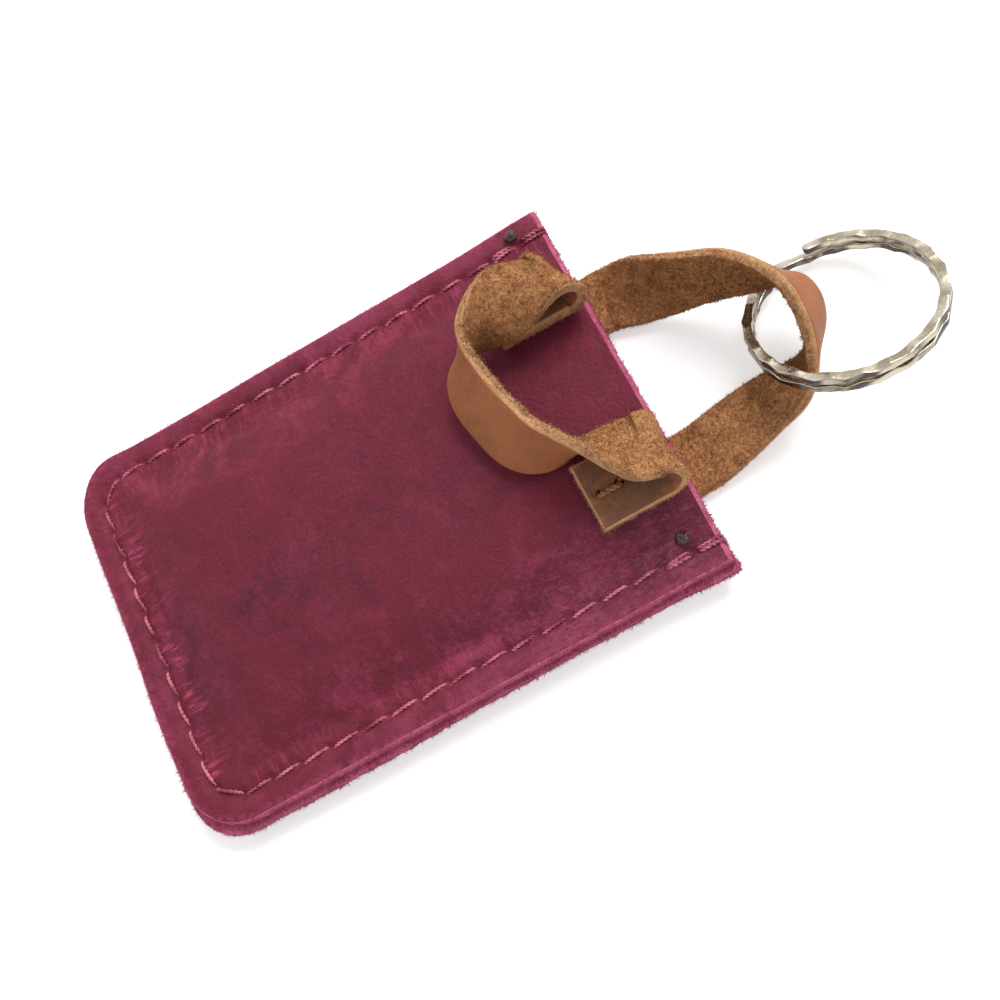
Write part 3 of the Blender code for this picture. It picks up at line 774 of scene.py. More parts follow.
@dataclass(frozen=True)
class WaxedGrain:
    """The smooth side of waxed leather, darker and lighter where it was handled, and darker in
    given zones, which can hold painted shade.
    """

    name: str
    base: Colour
    dark: Colour
    worn: Colour
    pebble: float
    depth: float
    cloud: float
    roughness: float
    specular: float = 0.2
    worn_cover: float = 0.4
    dark_cover: float = 0.4
    worn_zones: tuple[Zone, ...] = ()
    dark_and_shade_zones: tuple[Zone, ...] = ()
    wrinkle: float = 0.35
    dark_cloud: float = 1.7
    dark_share: float = 0.35
    zone_share: float = 0.22
    worn_share: float = 0.22
    worn_limit: float = 0.9
    pore_share: float = 0.45
    pore_roughness: float = 0.12
    worn_roughness: float = 0.10

    def zones(self, board: NodeBoard, zones: Sequence[Zone]) -> object:
        """Add up soft oval zones.

        Args:
            board: The material's board.
            zones: The middle, the half sizes and the strength of each.

        Returns:
            How strong the zones are at a point: a socket, or zero if there are none.
        """
        total: object = 0.0
        for middle, halves, strength in zones:
            moved = board.vector("SUBTRACT", board.place(), middle)
            squeezed = board.vector("DIVIDE", moved, halves)
            off_middle = board.vector("DISTANCE", squeezed, (0.0, 0.0, 0.0))
            near = board.remap(off_middle, 0.25, 1.0, strength, 0.0)
            total = board.math("ADD", near, total)
        return total

    def rub(self, board: NodeBoard, colour: Socket) -> Socket:
        """Leave the colour as it is, where nothing has rubbed the leather."""
        return colour

    def make(self) -> bpy.types.Material:
        """Build the material.

        Returns:
            The material.
        """
        material, board, shader = new_material(self.name, self.roughness, specular=self.specular)
        grain = SHELF.place(board, "leather_grain", size=self.pebble, wrinkle=self.wrinkle)
        worn = SHELF.place(board, "cloudy_wear", size=self.cloud, cover=self.worn_cover)
        dark = SHELF.place(board, "cloudy_wear", size=self.cloud * self.dark_cloud,
                           cover=self.dark_cover)
        # Darker zones: on the strap these are painted shade in and under the front handle's folds,
        # over the tabs' darker leather
        zone = self.zones(board, self.dark_and_shade_zones)
        darker = board.math("MULTIPLY_ADD", dark.outputs["Mask"],
                            board.math("ADD", zone, self.dark_share),
                            board.times(zone, self.zone_share))
        colour = board.mix(board.math("MINIMUM", darker, 1.0), self.base, self.dark)
        zone = self.zones(board, self.worn_zones)
        lighter = board.times(worn.outputs["Mask"], board.math("ADD", zone, self.worn_share))
        colour = board.mix(board.math("MINIMUM", lighter, self.worn_limit), colour, self.worn)
        colour = self.rub(board, colour)
        pored = board.times(grain.outputs["Pores"], self.pore_share)
        rough = board.math("MULTIPLY_ADD", grain.outputs["Pores"], self.pore_roughness,
                           self.roughness)
        rough = board.math("MULTIPLY_ADD", worn.outputs["Mask"], self.worn_roughness, rough)
        board.dress(shader, base_color=board.mix(pored, colour, self.dark), roughness=rough,
                    normal=board.bump(grain.outputs["Height"], self.depth))
        return material


@dataclass(frozen=True)
class PanelGrain(WaxedGrain):
    """The pouch's grain, rubbed to light streaks that run in from the seam."""

    rubbed: Colour = srgb(186, 78, 110)
    rim: Colour = srgb(154, 66, 91)
    ashen_sheen: Colour = srgb(136, 92, 112)
    half_width: float = POUCH_HALF_WIDTH
    low_y: float = POUCH_LOW_Y
    corner: float = POUCH_CORNER
    starts: float = 0.0036
    fades: float = 0.0092
    streak: float = 0.00070
    streak_patch: float = 0.005
    rim_patch: float = 0.0034
    stroke: float = 0.00036
    crinkle_share: float = 0.42
    edge_patch: float = 0.0009
    fleck: float = 0.00026
    fleck_share: float = 0.42
    speck: float = 0.00030
    speck_share: float = 0.5

    def inside(self, board: NodeBoard, from_low: Socket, from_side: Socket) -> Socket:
        """Give how far inside the round-cornered edge a point lies.

        Args:
            board: The material's board.
            from_low: How far it lies from the lower edge.
            from_side: How far it lies from the nearer side.

        Returns:
            The distance.
        """
        in_low = board.math("MAXIMUM", board.math("SUBTRACT", self.corner, from_low), 0.0)
        in_side = board.math("MAXIMUM", board.math("SUBTRACT", self.corner, from_side), 0.0)
        squares = board.math("MULTIPLY_ADD", in_low, in_low, board.times(in_side, in_side))
        rounded = board.math("SUBTRACT", self.corner, board.math("SQRT", squares))
        plain = board.math("MINIMUM", from_low, from_side)
        # Adding one metre past the corners leaves the plain distance as the smaller
        past_corner = board.math("GREATER_THAN", plain, self.corner)
        return board.math("MINIMUM", plain, board.math("ADD", rounded, past_corner))

    def rub(self, board: NodeBoard, colour: Socket) -> Socket:
        """Lay the marks of sewing and handling over the colour, and painted sheen and shade by the
        mouth's right end.

        Args:
            board: The material's board.
            colour: The colour so far.

        Returns:
            The rubbed colour.
        """
        split = board.node("ShaderNodeSeparateXYZ")
        board.feed(split.inputs[0], board.place())
        x, y = split.outputs[0], split.outputs[1]
        from_low = board.math("SUBTRACT", y, self.low_y)
        from_side = board.math("SUBTRACT", self.half_width, board.math("ABSOLUTE", x))
        inside = self.inside(board, from_low, from_side)
        nearer = board.math("SUBTRACT", from_low, from_side)
        by_low = board.remap(nearer, -0.0025, 0.0025, 1.0, 0.0)
        by_side = board.math("SUBTRACT", 1.0, by_low)

        # Streaks that run in from the seam
        rising = board.remap(inside, self.starts * 0.7, self.starts * 1.15)
        band = board.times(rising, board.remap(inside, self.starts, self.fades, 1.0, 0.0))
        side_share = board.remap(x, -0.015, 0.015, 0.70, 0.35)
        patchy = board.remap(board.noise(self.streak_patch, 4.0, 0.6), 0.38, 0.62, 0.30, 1.0)
        for stretch, share in (((1.0, 0.16, 0.16), by_low),
                               ((0.16, 1.0, 0.16), board.times(by_side, side_share))):
            lines = board.remap(board.noise(self.streak, 5.0, 0.65, stretch, 0.5), 0.50, 0.64)
            share = board.times(board.times(lines, band), share)
            colour = board.mix(board.times(share, patchy), colour, self.rubbed)

        # The light rim outside the seam
        rim = board.times(board.remap(inside, 0.0018, 0.0032, 0.60, 0.0),
                          board.remap(y, -0.022, 0.012, 0.22, 1.0))
        patchy = board.remap(board.noise(self.rim_patch, 5.0, 0.6), 0.36, 0.60, 0.25, 1.0)
        colour = board.mix(board.times(rim, patchy), colour, self.rim)

        # Light and dark strokes by the mouth's right end: partly the grain's greyish tone, partly
        # painted sheen and painted shade of crinkles that the mesh doesn't have
        crinkle_sheen_and_shade = board.times(board.remap(x, 0.010, 0.019), board.remap(y, -0.004, 0.018))
        strokes = board.noise(self.stroke, 5.0, 0.72, (1.0, 0.34, 0.34), 0.9)
        for low, high, over in ((0.50, 0.62, self.ashen_sheen), (0.49, 0.38, self.dark)):
            share = board.times(board.remap(strokes, low, high), crinkle_sheen_and_shade)
            colour = board.mix(board.times(share, self.crinkle_share), colour, over)

        # The scuffed edge, and fine light and dark flecks
        near_edge = board.remap(inside, 0.0003, 0.0013, 0.40, 0.0)
        patchy = board.remap(board.noise(self.edge_patch, 5.0, 0.65), 0.42, 0.60)
        colour = board.mix(board.times(near_edge, patchy), colour, self.rubbed)
        light = board.remap(board.noise(self.fleck, 3.0, 0.75), 0.56, 0.74)
        colour = board.mix(board.times(light, self.fleck_share), colour, self.rubbed)
        deep = board.remap(board.noise(self.speck, 3.0, 0.75, (1.0, 1.2, 0.9)), 0.44, 0.30)
        return board.mix(board.times(deep, self.speck_share), colour, self.dark)


@dataclass(frozen=True)
class RawFibre:
    """Raw leather: suede, a flesh side or a cut edge."""

    name: str
    light: Colour
    dark: Colour
    tuft: float
    depth: float
    sheen: float = 0.25
    roughness: float = 0.92
    specular: float = 0.15

    def make(self) -> bpy.types.Material:
        """Build the material.

        Returns:
            The material.
        """
        material, board, shader = new_material(self.name, self.roughness, specular=self.specular,
                                               sheen=self.sheen)
        nap = SHELF.place(board, "suede_nap", size=self.tuft)
        board.dress(shader, sheen_tint=self.light,
                    base_color=board.mix(nap.outputs["Tone"], self.dark, self.light),
                    normal=board.bump(nap.outputs["Height"], self.depth))
        return material


@dataclass(frozen=True)
class WaxedThread:
    """Waxed thread, with fine filaments along its plies."""

    name: str
    light: Colour
    dark: Colour
    roughness: float = 0.55
    specular: float = 0.35
    filament: float = 0.00012
    patch: float = 0.0025
    depth: float = 0.00006

    def make(self) -> bpy.types.Material:
        """Build the material.

        Returns:
            The material.
        """
        material, board, shader = new_material(self.name, self.roughness, specular=self.specular)
        fine = board.noise(self.filament, 4.0, 0.7)
        broad = board.noise(self.patch, 3.0, 0.6)
        tone = board.math("MULTIPLY_ADD", fine, 0.6, board.times(broad, 0.7))
        colour = board.mix(board.remap(tone, 0.50, 0.80), self.dark, self.light)
        board.dress(shader, base_color=colour, normal=board.bump(fine, self.depth))
        return material


@dataclass(frozen=True)
class MeltedThread:
    """A dark bead of melted thread, or the painted shade of an awl hole's mouth."""

    name: str
    base: Colour
    ash: Colour
    glossy: float = 0.22
    dull: float = 0.55
    specular: float = 0.5
    spot: float = 0.0004
    depth: float = 0.00012

    def make(self) -> bpy.types.Material:
        """Build the material.

        Returns:
            The material.
        """
        material, board, shader = new_material(self.name, self.dull, specular=self.specular)
        spots = board.noise(self.spot, 5.0, 0.65)
        colour = board.mix(board.remap(spots, 0.48, 0.70), self.base, self.ash)
        rough = board.remap(spots, 0.35, 0.65, self.glossy, self.dull)
        board.dress(shader, base_color=colour, roughness=rough,
                    normal=board.bump(spots, self.depth))
        return material


@dataclass(frozen=True)
class HammeredMetal:
    """Nickel-plated wire with painted reflections: bright on its broad faces, dull and streaked
    with bright on its narrow sides.
    """

    name: str
    bright: Colour
    warm: Colour
    dull: Colour
    normal: Spot
    smudge: float = 0.0036
    scratch: float = 0.00035
    pit: float = 0.0007
    depth: float = 0.00005
    roughness: Pair = (0.17, 0.42)

    def make(self) -> bpy.types.Material:
        """Build the material.

        Returns:
            The material.
        """
        material, board, shader = new_material(self.name, self.roughness[0], metallic=1.0)
        # Painted reflection: the broad faces, turned along the ring's axis, take the bright colours
        # and the narrow sides the dull one, as light and dark reflections
        outward = board.node("ShaderNodeNewGeometry").outputs["Normal"]
        facing = board.vector("DOT_PRODUCT", outward, self.normal)
        painted_reflection_share = board.remap(board.math("ABSOLUTE", facing), 0.45, 0.85)
        smudge = board.noise(self.smudge, 3.0, 0.5, distortion=0.3)
        bright = board.mix(board.remap(smudge, 0.40, 0.64), self.bright, self.warm)
        sides = board.mix(board.remap(smudge, 0.40, 0.66), self.dull, self.bright)
        scratch = board.noise(self.scratch, 6.0, 0.7)
        pits = board.noise(self.pit, 4.0, 0.6)
        board.dress(shader, base_color=board.mix(painted_reflection_share, sides, bright),
                    roughness=board.remap(scratch, 0.30, 0.72, *self.roughness),
                    normal=board.bump(pits, self.depth))
        return material


class Wardrobe:
    """Every material of the keychain, made once."""

    def __init__(self) -> None:
        """Make the materials."""
        self.panel_grain = PanelGrain(
            "burgundy_grain", base=srgb(114, 38, 55), dark=srgb(74, 33, 47), worn=srgb(168, 68, 96),
            pebble=0.00042, depth=0.00008, cloud=0.006, roughness=0.52, specular=0.14,
            worn_zones=(
                ((0.0, -0.030, 0.006), (0.028, 0.010, 0.02), 0.30),
                ((-0.020, -0.008, 0.006), (0.010, 0.044, 0.02), 0.55),
                ((0.020, 0.004, 0.006), (0.011, 0.040, 0.02), 0.48),
            ),
            dark_and_shade_zones=(
                ((0.000, -0.008, 0.006), (0.016, 0.034, 0.02), 0.45),
                ((0.018, 0.026, 0.006), (0.010, 0.014, 0.02), 0.65),
            ),
        ).make()
        self.panel_flesh = RawFibre(
            "burgundy_flesh", light=srgb(186, 70, 104), dark=srgb(120, 40, 66),
            tuft=0.0005, depth=0.00010).make()
        self.panel_edge = RawFibre(
            "burgundy_raw_edge", light=srgb(250, 138, 174), dark=srgb(156, 42, 80),
            tuft=0.00034, depth=0.00016).make()
        self.strap_grain = WaxedGrain(
            "tan_grain", base=srgb(176, 108, 70), dark=srgb(118, 80, 60), worn=srgb(204, 144, 98),
            pebble=0.00035, depth=0.00003, cloud=0.004, roughness=0.55,
            worn_cover=0.40, dark_cover=0.52, dark_and_shade_zones=(
                # The first two zones darken the front handle's sewn tabs, partly their own darker
                # leather and partly painted shade under the folds; the last two are painted shade
                # inside the folds
                ((0.0118, 0.0280, 0.0107), (0.0085, 0.0085, 0.0022), 3.0),
                ((-0.0118, 0.0280, 0.0107), (0.0085, 0.0085, 0.0022), 3.0),
                ((0.0118, 0.0322, 0.0130), (0.0062, 0.0050, 0.0040), 3.0),
                ((-0.0118, 0.0320, 0.0140), (0.0062, 0.0060, 0.0045), 3.0),
            )).make()
        self.strap_suede = RawFibre(
            "tan_suede", light=srgb(250, 184, 126), dark=srgb(124, 72, 42),
            tuft=0.00034, depth=0.00020, sheen=0.35).make()
        self.strap_edge = RawFibre(
            "tan_raw_edge", light=srgb(255, 204, 154), dark=srgb(170, 112, 72),
            tuft=0.00026, depth=0.00012, sheen=0.3).make()
        self.rose_thread = WaxedThread(
            "rose_thread_waxed", light=srgb(238, 138, 162), dark=srgb(112, 24, 44)).make()
        self.brown_thread = WaxedThread(
            "brown_thread_waxed", light=srgb(222, 164, 108), dark=srgb(112, 68, 40)).make()
        self.melted = MeltedThread("melted_thread_bead", srgb(56, 32, 34), srgb(128, 92, 90)).make()
        # Painted shade: dark discs that stand for the inside of the awl holes, in the panels and in
        # the tabs
        self.hole = MeltedThread("awl_hole_dark", srgb(44, 12, 20), srgb(60, 18, 30),
                                 glossy=0.8, dull=0.95, specular=0.05).make()
        self.tan_hole = MeltedThread("tan_hole_dark", srgb(52, 30, 18), srgb(70, 42, 26),
                                     glossy=0.8, dull=0.95, specular=0.05).make()


@cache
def wardrobe() -> Wardrobe:
    """Give the materials, which the first call makes."""
    return Wardrobe()


# Pouch


@dataclass(frozen=True)
class SeamLine:
    """The U-shaped line of awl holes that both panels share."""

    half_width: float = POUCH_HALF_WIDTH
    low_y: float = POUCH_LOW_Y
    mouth_y: float = POUCH_MOUTH_Y
    corner: float = POUCH_CORNER
    inset: float = 0.0031
    first_hole: float = 0.0035
    pitch: float = 0.00387

    def turned(self, turn: float, middle: Sequence[float]) -> tuple[Array, Array, Array]:
        """Give a point on one of the lower corners.

        Args:
            turn: How far round it lies, in radians from the right side.
            middle: The corner's centre.

        Returns:
            The point, the line's direction and its outward side.
        """
        out = np.array([math.cos(turn), -math.sin(turn)])
        point = np.array(middle) + (self.corner - self.inset) * out
        return point, np.array([out[1], -out[0]]), out

    def place(self, distance: float) -> tuple[Array, Array, Array]:
        """Give a point on the line, from the mouth's right end round to its left.

        Args:
            distance: How far along the line it lies.

        Returns:
            The point, the line's direction and its outward side.
        """
        half = self.half_width - self.inset
        radius = self.corner - self.inset
        low = self.low_y + self.inset
        side = self.mouth_y - self.first_hole - low - radius
        arc = radius * math.pi / 2
        bottom = 2 * (half - radius)
        if distance < side:
            return (np.array([half, self.mouth_y - self.first_hole - distance]),
                    np.array([0.0, -1.0]), np.array([1.0, 0.0]))
        distance -= side
        if distance < arc:
            return self.turned(distance / radius, (half - radius, low + radius))
        distance -= arc
        if distance < bottom:
            return (np.array([half - radius - distance, low]), np.array([-1.0, 0.0]),
                    np.array([0.0, -1.0]))
        distance -= bottom
        if distance < arc:
            return self.turned(math.pi / 2 + distance / radius, (radius - half, low + radius))
        distance -= arc
        return (np.array([-half, low + radius + distance]), np.array([0.0, 1.0]),
                np.array([-1.0, 0.0]))

    def holes(self) -> list[tuple[Array, Array, Array]]:
        """Give the evenly spaced holes.

        Returns:
            Each hole's point, direction and outward side.
        """
        radius = self.corner - self.inset
        straight = 2 * (self.mouth_y - self.low_y - self.first_hole - self.inset - radius)
        length = straight + 2 * (self.half_width - self.inset - radius) + math.pi * radius
        stitches = 2 * round(length / self.pitch / 2)
        return [self.place(length * step / stitches) for step in range(stitches + 1)]


@dataclass(frozen=True)
class Ridge:
    """A soft ridge or groove that runs beside the edge, at a distance inside it."""

    height: float
    inside: float
    width: float

    def rise(self, inside: Array) -> Array:
        """Give its height at each distance inside the edge."""
        return self.height * bell(inside - self.inside, self.width)


@dataclass
class Panel:
    """One leather panel: a slab with square corners at the mouth and round ones below."""

    node: str
    seam: SeamLine
    grain_up: bool
    rest_z: float
    crown_height: float
    plateau_share: float
    belly_top_y: float | None
    grow: float
    seed: float
    thickness: float = 0.0017
    margin: float = 0.0053
    crown_power: int = 4
    groove: Ridge = Ridge(-0.00026, 0.0031, 0.00060)
    pit: Ridge = Ridge(-0.00042, 0.0, 0.00055)
    rim: Ridge = Ridge(0.00012, 0.0016, 0.00080)
    puff: Ridge = Ridge(0.00017, 0.0048, 0.00100)
    creases: Ridge = Ridge(-0.00008, 0.0062, 0.0026)
    crease_size: Pair = (0.00085, 0.0050)
    swell: Pair = (0.00013, 0.0100)
    edge_roll: float = 0.00048
    roll_drop: float = 0.75
    outline_stray: Pair = (0.00016, 0.0110)
    stray_reach: float = 0.0022
    raw_lip: float = 0.00028
    raw_mouth: float = 0.00047
    raw_flesh: float = 0.0012
    press: Ridge = Ridge(0.00012, 0.0, 0.0030)
    frayed: Sequence[Spot] = ((0.00012, 0.00042, 0.0), (0.00013, 0.0016, 2.0))
    wall_swell: float = 0.00010
    edge_fibres: int = 5200
    pulls: tuple[tuple[Pair, float, float], ...] = ()

    @property
    def half(self) -> float:
        """Give half the panel's width."""
        return self.seam.half_width + self.grow

    @property
    def radius(self) -> float:
        """Give the radius of its round corners."""
        return self.seam.corner + self.grow

    @property
    def low(self) -> float:
        """Give the place of its lower edge."""
        return self.seam.low_y - self.grow

    def crown(self, x: Array, y: Array) -> Array:
        """Give the share of full bulge at each place between the seams.

        Args:
            x: Places across.
            y: Places along.

        Returns:
            The shares.
        """
        arch_half = self.seam.half_width - self.margin
        height = self.seam.mouth_y - self.seam.low_y
        full_y = self.seam.low_y + height * self.plateau_share
        bottom_y = self.seam.low_y + self.margin
        across = 1.0 - np.minimum(np.abs(x) / arch_half, 1.0) ** self.crown_power
        below = np.clip((full_y - y) / (full_y - bottom_y), 0.0, 1.0)
        along = 1.0 - below ** self.crown_power
        if self.belly_top_y is not None:
            above = np.clip((y - full_y) / (self.belly_top_y - full_y), 0.0, 1.0)
            along = along * (1.0 - above ** self.crown_power)
        return across * along

    def underside(self, x: Array, y: Array) -> Array:
        """Give the height of the panel's lower face at places across and along."""
        lift = self.crown_height * self.crown(x, y)
        return self.rest_z + lift if self.grain_up else np.maximum(0.0, self.rest_z - lift)

    def from_edges(self, x: Array, y: Array) -> tuple[Array, Array, Array]:
        """Give how far each place lies from the nearer side and the lower edge.

        Args:
            x: Places across.
            y: Places along.

        Returns:
            Both distances, and whether the place belongs to a round corner.
        """
        from_side = self.half - np.abs(x)
        from_low = y - self.low
        return from_side, from_low, (from_side < self.radius) & (from_low < self.radius)

    def seam_distance(self, x: Array, y: Array) -> Array:
        """Give how far inside the sewn part of the outline each place lies.

        Args:
            x: Places across.
            y: Places along.

        Returns:
            The distances.
        """
        from_side, from_low, in_corner = self.from_edges(x, y)
        round_one = self.radius - np.hypot(self.radius - from_side, self.radius - from_low)
        return np.where(in_corner, round_one, np.minimum(from_side, from_low))

    def edge_distance(self, x: Array, y: Array) -> Array:
        """Give how far inside the whole outline each place lies."""
        return np.minimum(self.seam_distance(x, y), self.seam.mouth_y - y)

    def relief(self, x: Array, y: Array) -> Array:
        """Give how far the sewn grain side stands off its plain form.

        Args:
            x: Places across.
            y: Places along.

        Returns:
            The heights, negative where the thread pulls the leather in.
        """
        edge = self.seam_distance(x, y) - self.grow
        centres = np.array([hole[0] for hole in self.seam.holes()])
        hole = np.hypot(x[:, None] - centres[:, 0], y[:, None] - centres[:, 1]).min(axis=1)
        puff = self.puff.rise(edge) * (1.0 - 0.7 * bell(hole, 0.0024))
        swell = self.swell[0] * lumps(np.column_stack([x, y]), self.swell[1], self.seed)
        up_side = np.clip((y - self.seam.low_y) / 0.010, 0.0, 1.0)
        along_seam = np.where(up_side < 1.0, x, y)
        lines = np.column_stack([along_seam / self.crease_size[0], edge / self.crease_size[1]])
        crease = np.abs(lumps(lines, 1.0, self.seed + 4.0))
        creased = self.creases.rise(edge) * crease * (0.35 + 0.65 * (1.0 - up_side))
        roll = np.clip(1.0 - np.maximum(self.edge_distance(x, y), 0.0) / self.edge_roll, 0.0, 1.0)
        rolled = 1.0 - np.sqrt(np.maximum(1.0 - roll ** 2, 0.0))
        fall = -self.edge_roll * self.roll_drop * rolled
        return (self.groove.rise(edge) + self.pit.rise(hole) + self.rim.rise(edge) + puff + swell
                + creased + fall)

    def grain_height(self, x: Array, y: Array) -> Array:
        """Give the height of the finished grain side.

        Args:
            x: Places across.
            y: Places along.

        Returns:
            The heights.
        """
        if self.grain_up:
            return self.underside(x, y) + self.thickness + self.relief(x, y)
        return np.maximum(self.underside(x, y) - self.relief(x, y), 0.0)

    def lattice(self) -> Slab:
        """Space the panel's lattice, closer at its edges and round its corners.

        Returns:
            The lattice.
        """
        width = 2 * self.half
        edge = np.array([0.0, 0.00012, 0.00026, 0.00045, 0.00070])
        inset = 0.0010
        inner = np.linspace(inset, width - inset, round(width / 0.00036))
        across = np.concatenate([edge, inner, (width - edge)[::-1]]) / width
        height = self.seam.mouth_y - self.low
        corner = self.radius * (1.0 - np.cos(np.radians(np.linspace(0.0, 90.0, 40))))
        rows = round((height - self.radius) / 0.00034)
        straight = np.linspace(self.radius, height - inset, rows)[1:]
        along = np.concatenate([corner, straight, (height - edge)[::-1]]) / height
        return Slab(across, along, np.linspace(0.0, 1.0, 9))

    def roughen(self, points: Array, through: Array, outward: Array, wall: Array) -> None:
        """Move the points by the edge to the uneven, frayed outline of cut leather.

        Args:
            points: The panel's points, which this changes.
            through: Their shares of the way from the lower face to the upper.
            outward: The outward direction at each.
            wall: Which of them lie on the cut edge.
        """
        x, y = points[:, 0].copy(), points[:, 1].copy()
        fray = (layered(points, self.seed, self.frayed)
                + self.wall_swell * np.sin(math.pi * through))
        depth, size = self.outline_stray
        stray = depth * lumps(np.column_stack([x, y]), size, self.seed + 7.0)
        for middle, reach, amount in self.pulls:
            stray = stray + amount * bell(np.hypot(x - middle[0], y - middle[1]), reach)
        near_edge = bell(self.edge_distance(x, y), self.stray_reach)
        moved = np.where(wall, fray, 0.0) + stray * near_edge
        points[:, :2] += outward * moved[:, None]

    def build(self) -> bpy.types.Object:
        """Build the panel in place of its solid.

        Returns:
            The panel.
        """
        shares, faces, sides = self.lattice().surface()
        y = self.low + shares[:, 1] * (self.seam.mouth_y - self.low)
        drop = np.clip(self.low + self.radius - y, 0.0, self.radius)
        in_arc = np.sqrt(np.maximum(self.radius ** 2 - drop ** 2, 0.0))
        x = (2.0 * shares[:, 0] - 1.0) * (self.half - self.radius + in_arc)
        through = shares[:, 2]
        pressed = self.press.rise(np.maximum(self.seam_distance(x, y), 0.0))
        if self.grain_up:
            bottom, top = self.underside(x, y) - pressed, self.grain_height(x, y)
        else:
            bottom = self.grain_height(x, y)
            top = self.underside(x, y) + self.thickness + pressed
        points = np.column_stack([x, y, bottom + (top - bottom) * through])
        outward = self.outward(x, y)
        wall = (self.edge_distance(x, y) < 1e-7) & (through > 0.0) & (through < 1.0)
        self.roughen(points, through, outward, wall)
        corners = np.array(faces)
        inside = self.edge_distance(x, y)[corners].max(axis=1)
        by_mouth = self.seam.mouth_y - y[corners].min(axis=1) < self.raw_mouth
        slots = leather_slots(sides, self.grain_up, (inside < self.raw_lip) | by_mouth,
                              inside < self.raw_flesh)
        draft = MeshDraft()
        draft.add(points, faces, slots)
        self.fray(draft, points, outward, wall)
        panel = draft.build(self.node + "_leather",
                            (wardrobe().panel_grain, wardrobe().panel_flesh, wardrobe().panel_edge))
        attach(panel, "pouch")
        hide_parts(self.node)
        return panel

    def outward(self, x: Array, y: Array) -> Array:
        """Give the outward direction of the outline nearest to each place.

        Args:
            x: Places across.
            y: Places along.

        Returns:
            One direction a row, in the panel's plane.
        """
        from_side, from_low, in_corner = self.from_edges(x, y)
        from_mouth = self.seam.mouth_y - y
        least = np.minimum(np.minimum(from_side, from_low), from_mouth)
        made = np.zeros((len(x), 2))
        made[:, 0] = np.where(from_side <= least, np.sign(x), 0.0)
        made[:, 1] = np.where(from_low <= least, -1.0, np.where(from_mouth <= least, 1.0, 0.0))
        made[in_corner, 0] = (np.sign(x) * (self.radius - from_side))[in_corner]
        made[in_corner, 1] = -(self.radius - from_low)[in_corner]
        return unit(made)

    def fray(self, draft: MeshDraft, points: Array, outward: Array, wall: Array) -> None:
        """Add the loose fibres along the cut edge.

        Args:
            draft: The panel's draft.
            points: Its points.
            outward: The outward direction at each.
            wall: Which of them lie on the cut edge.
        """
        random = np.random.default_rng(int(self.seed * 10) + 3)
        on_edge = np.nonzero(wall)[0]
        chosen = random.choice(on_edge, size=self.edge_fibres)
        normals = np.column_stack([outward[chosen], np.zeros(len(chosen))])
        fringe = Fibres(shortest=0.00014, longest=0.00074, radius=0.000046,
                        seed=int(self.seed) + 11, lean_share=0.8, bend_share=1.0)
        fringe.grow(draft, points[chosen], normals, Surface.CUT.value)


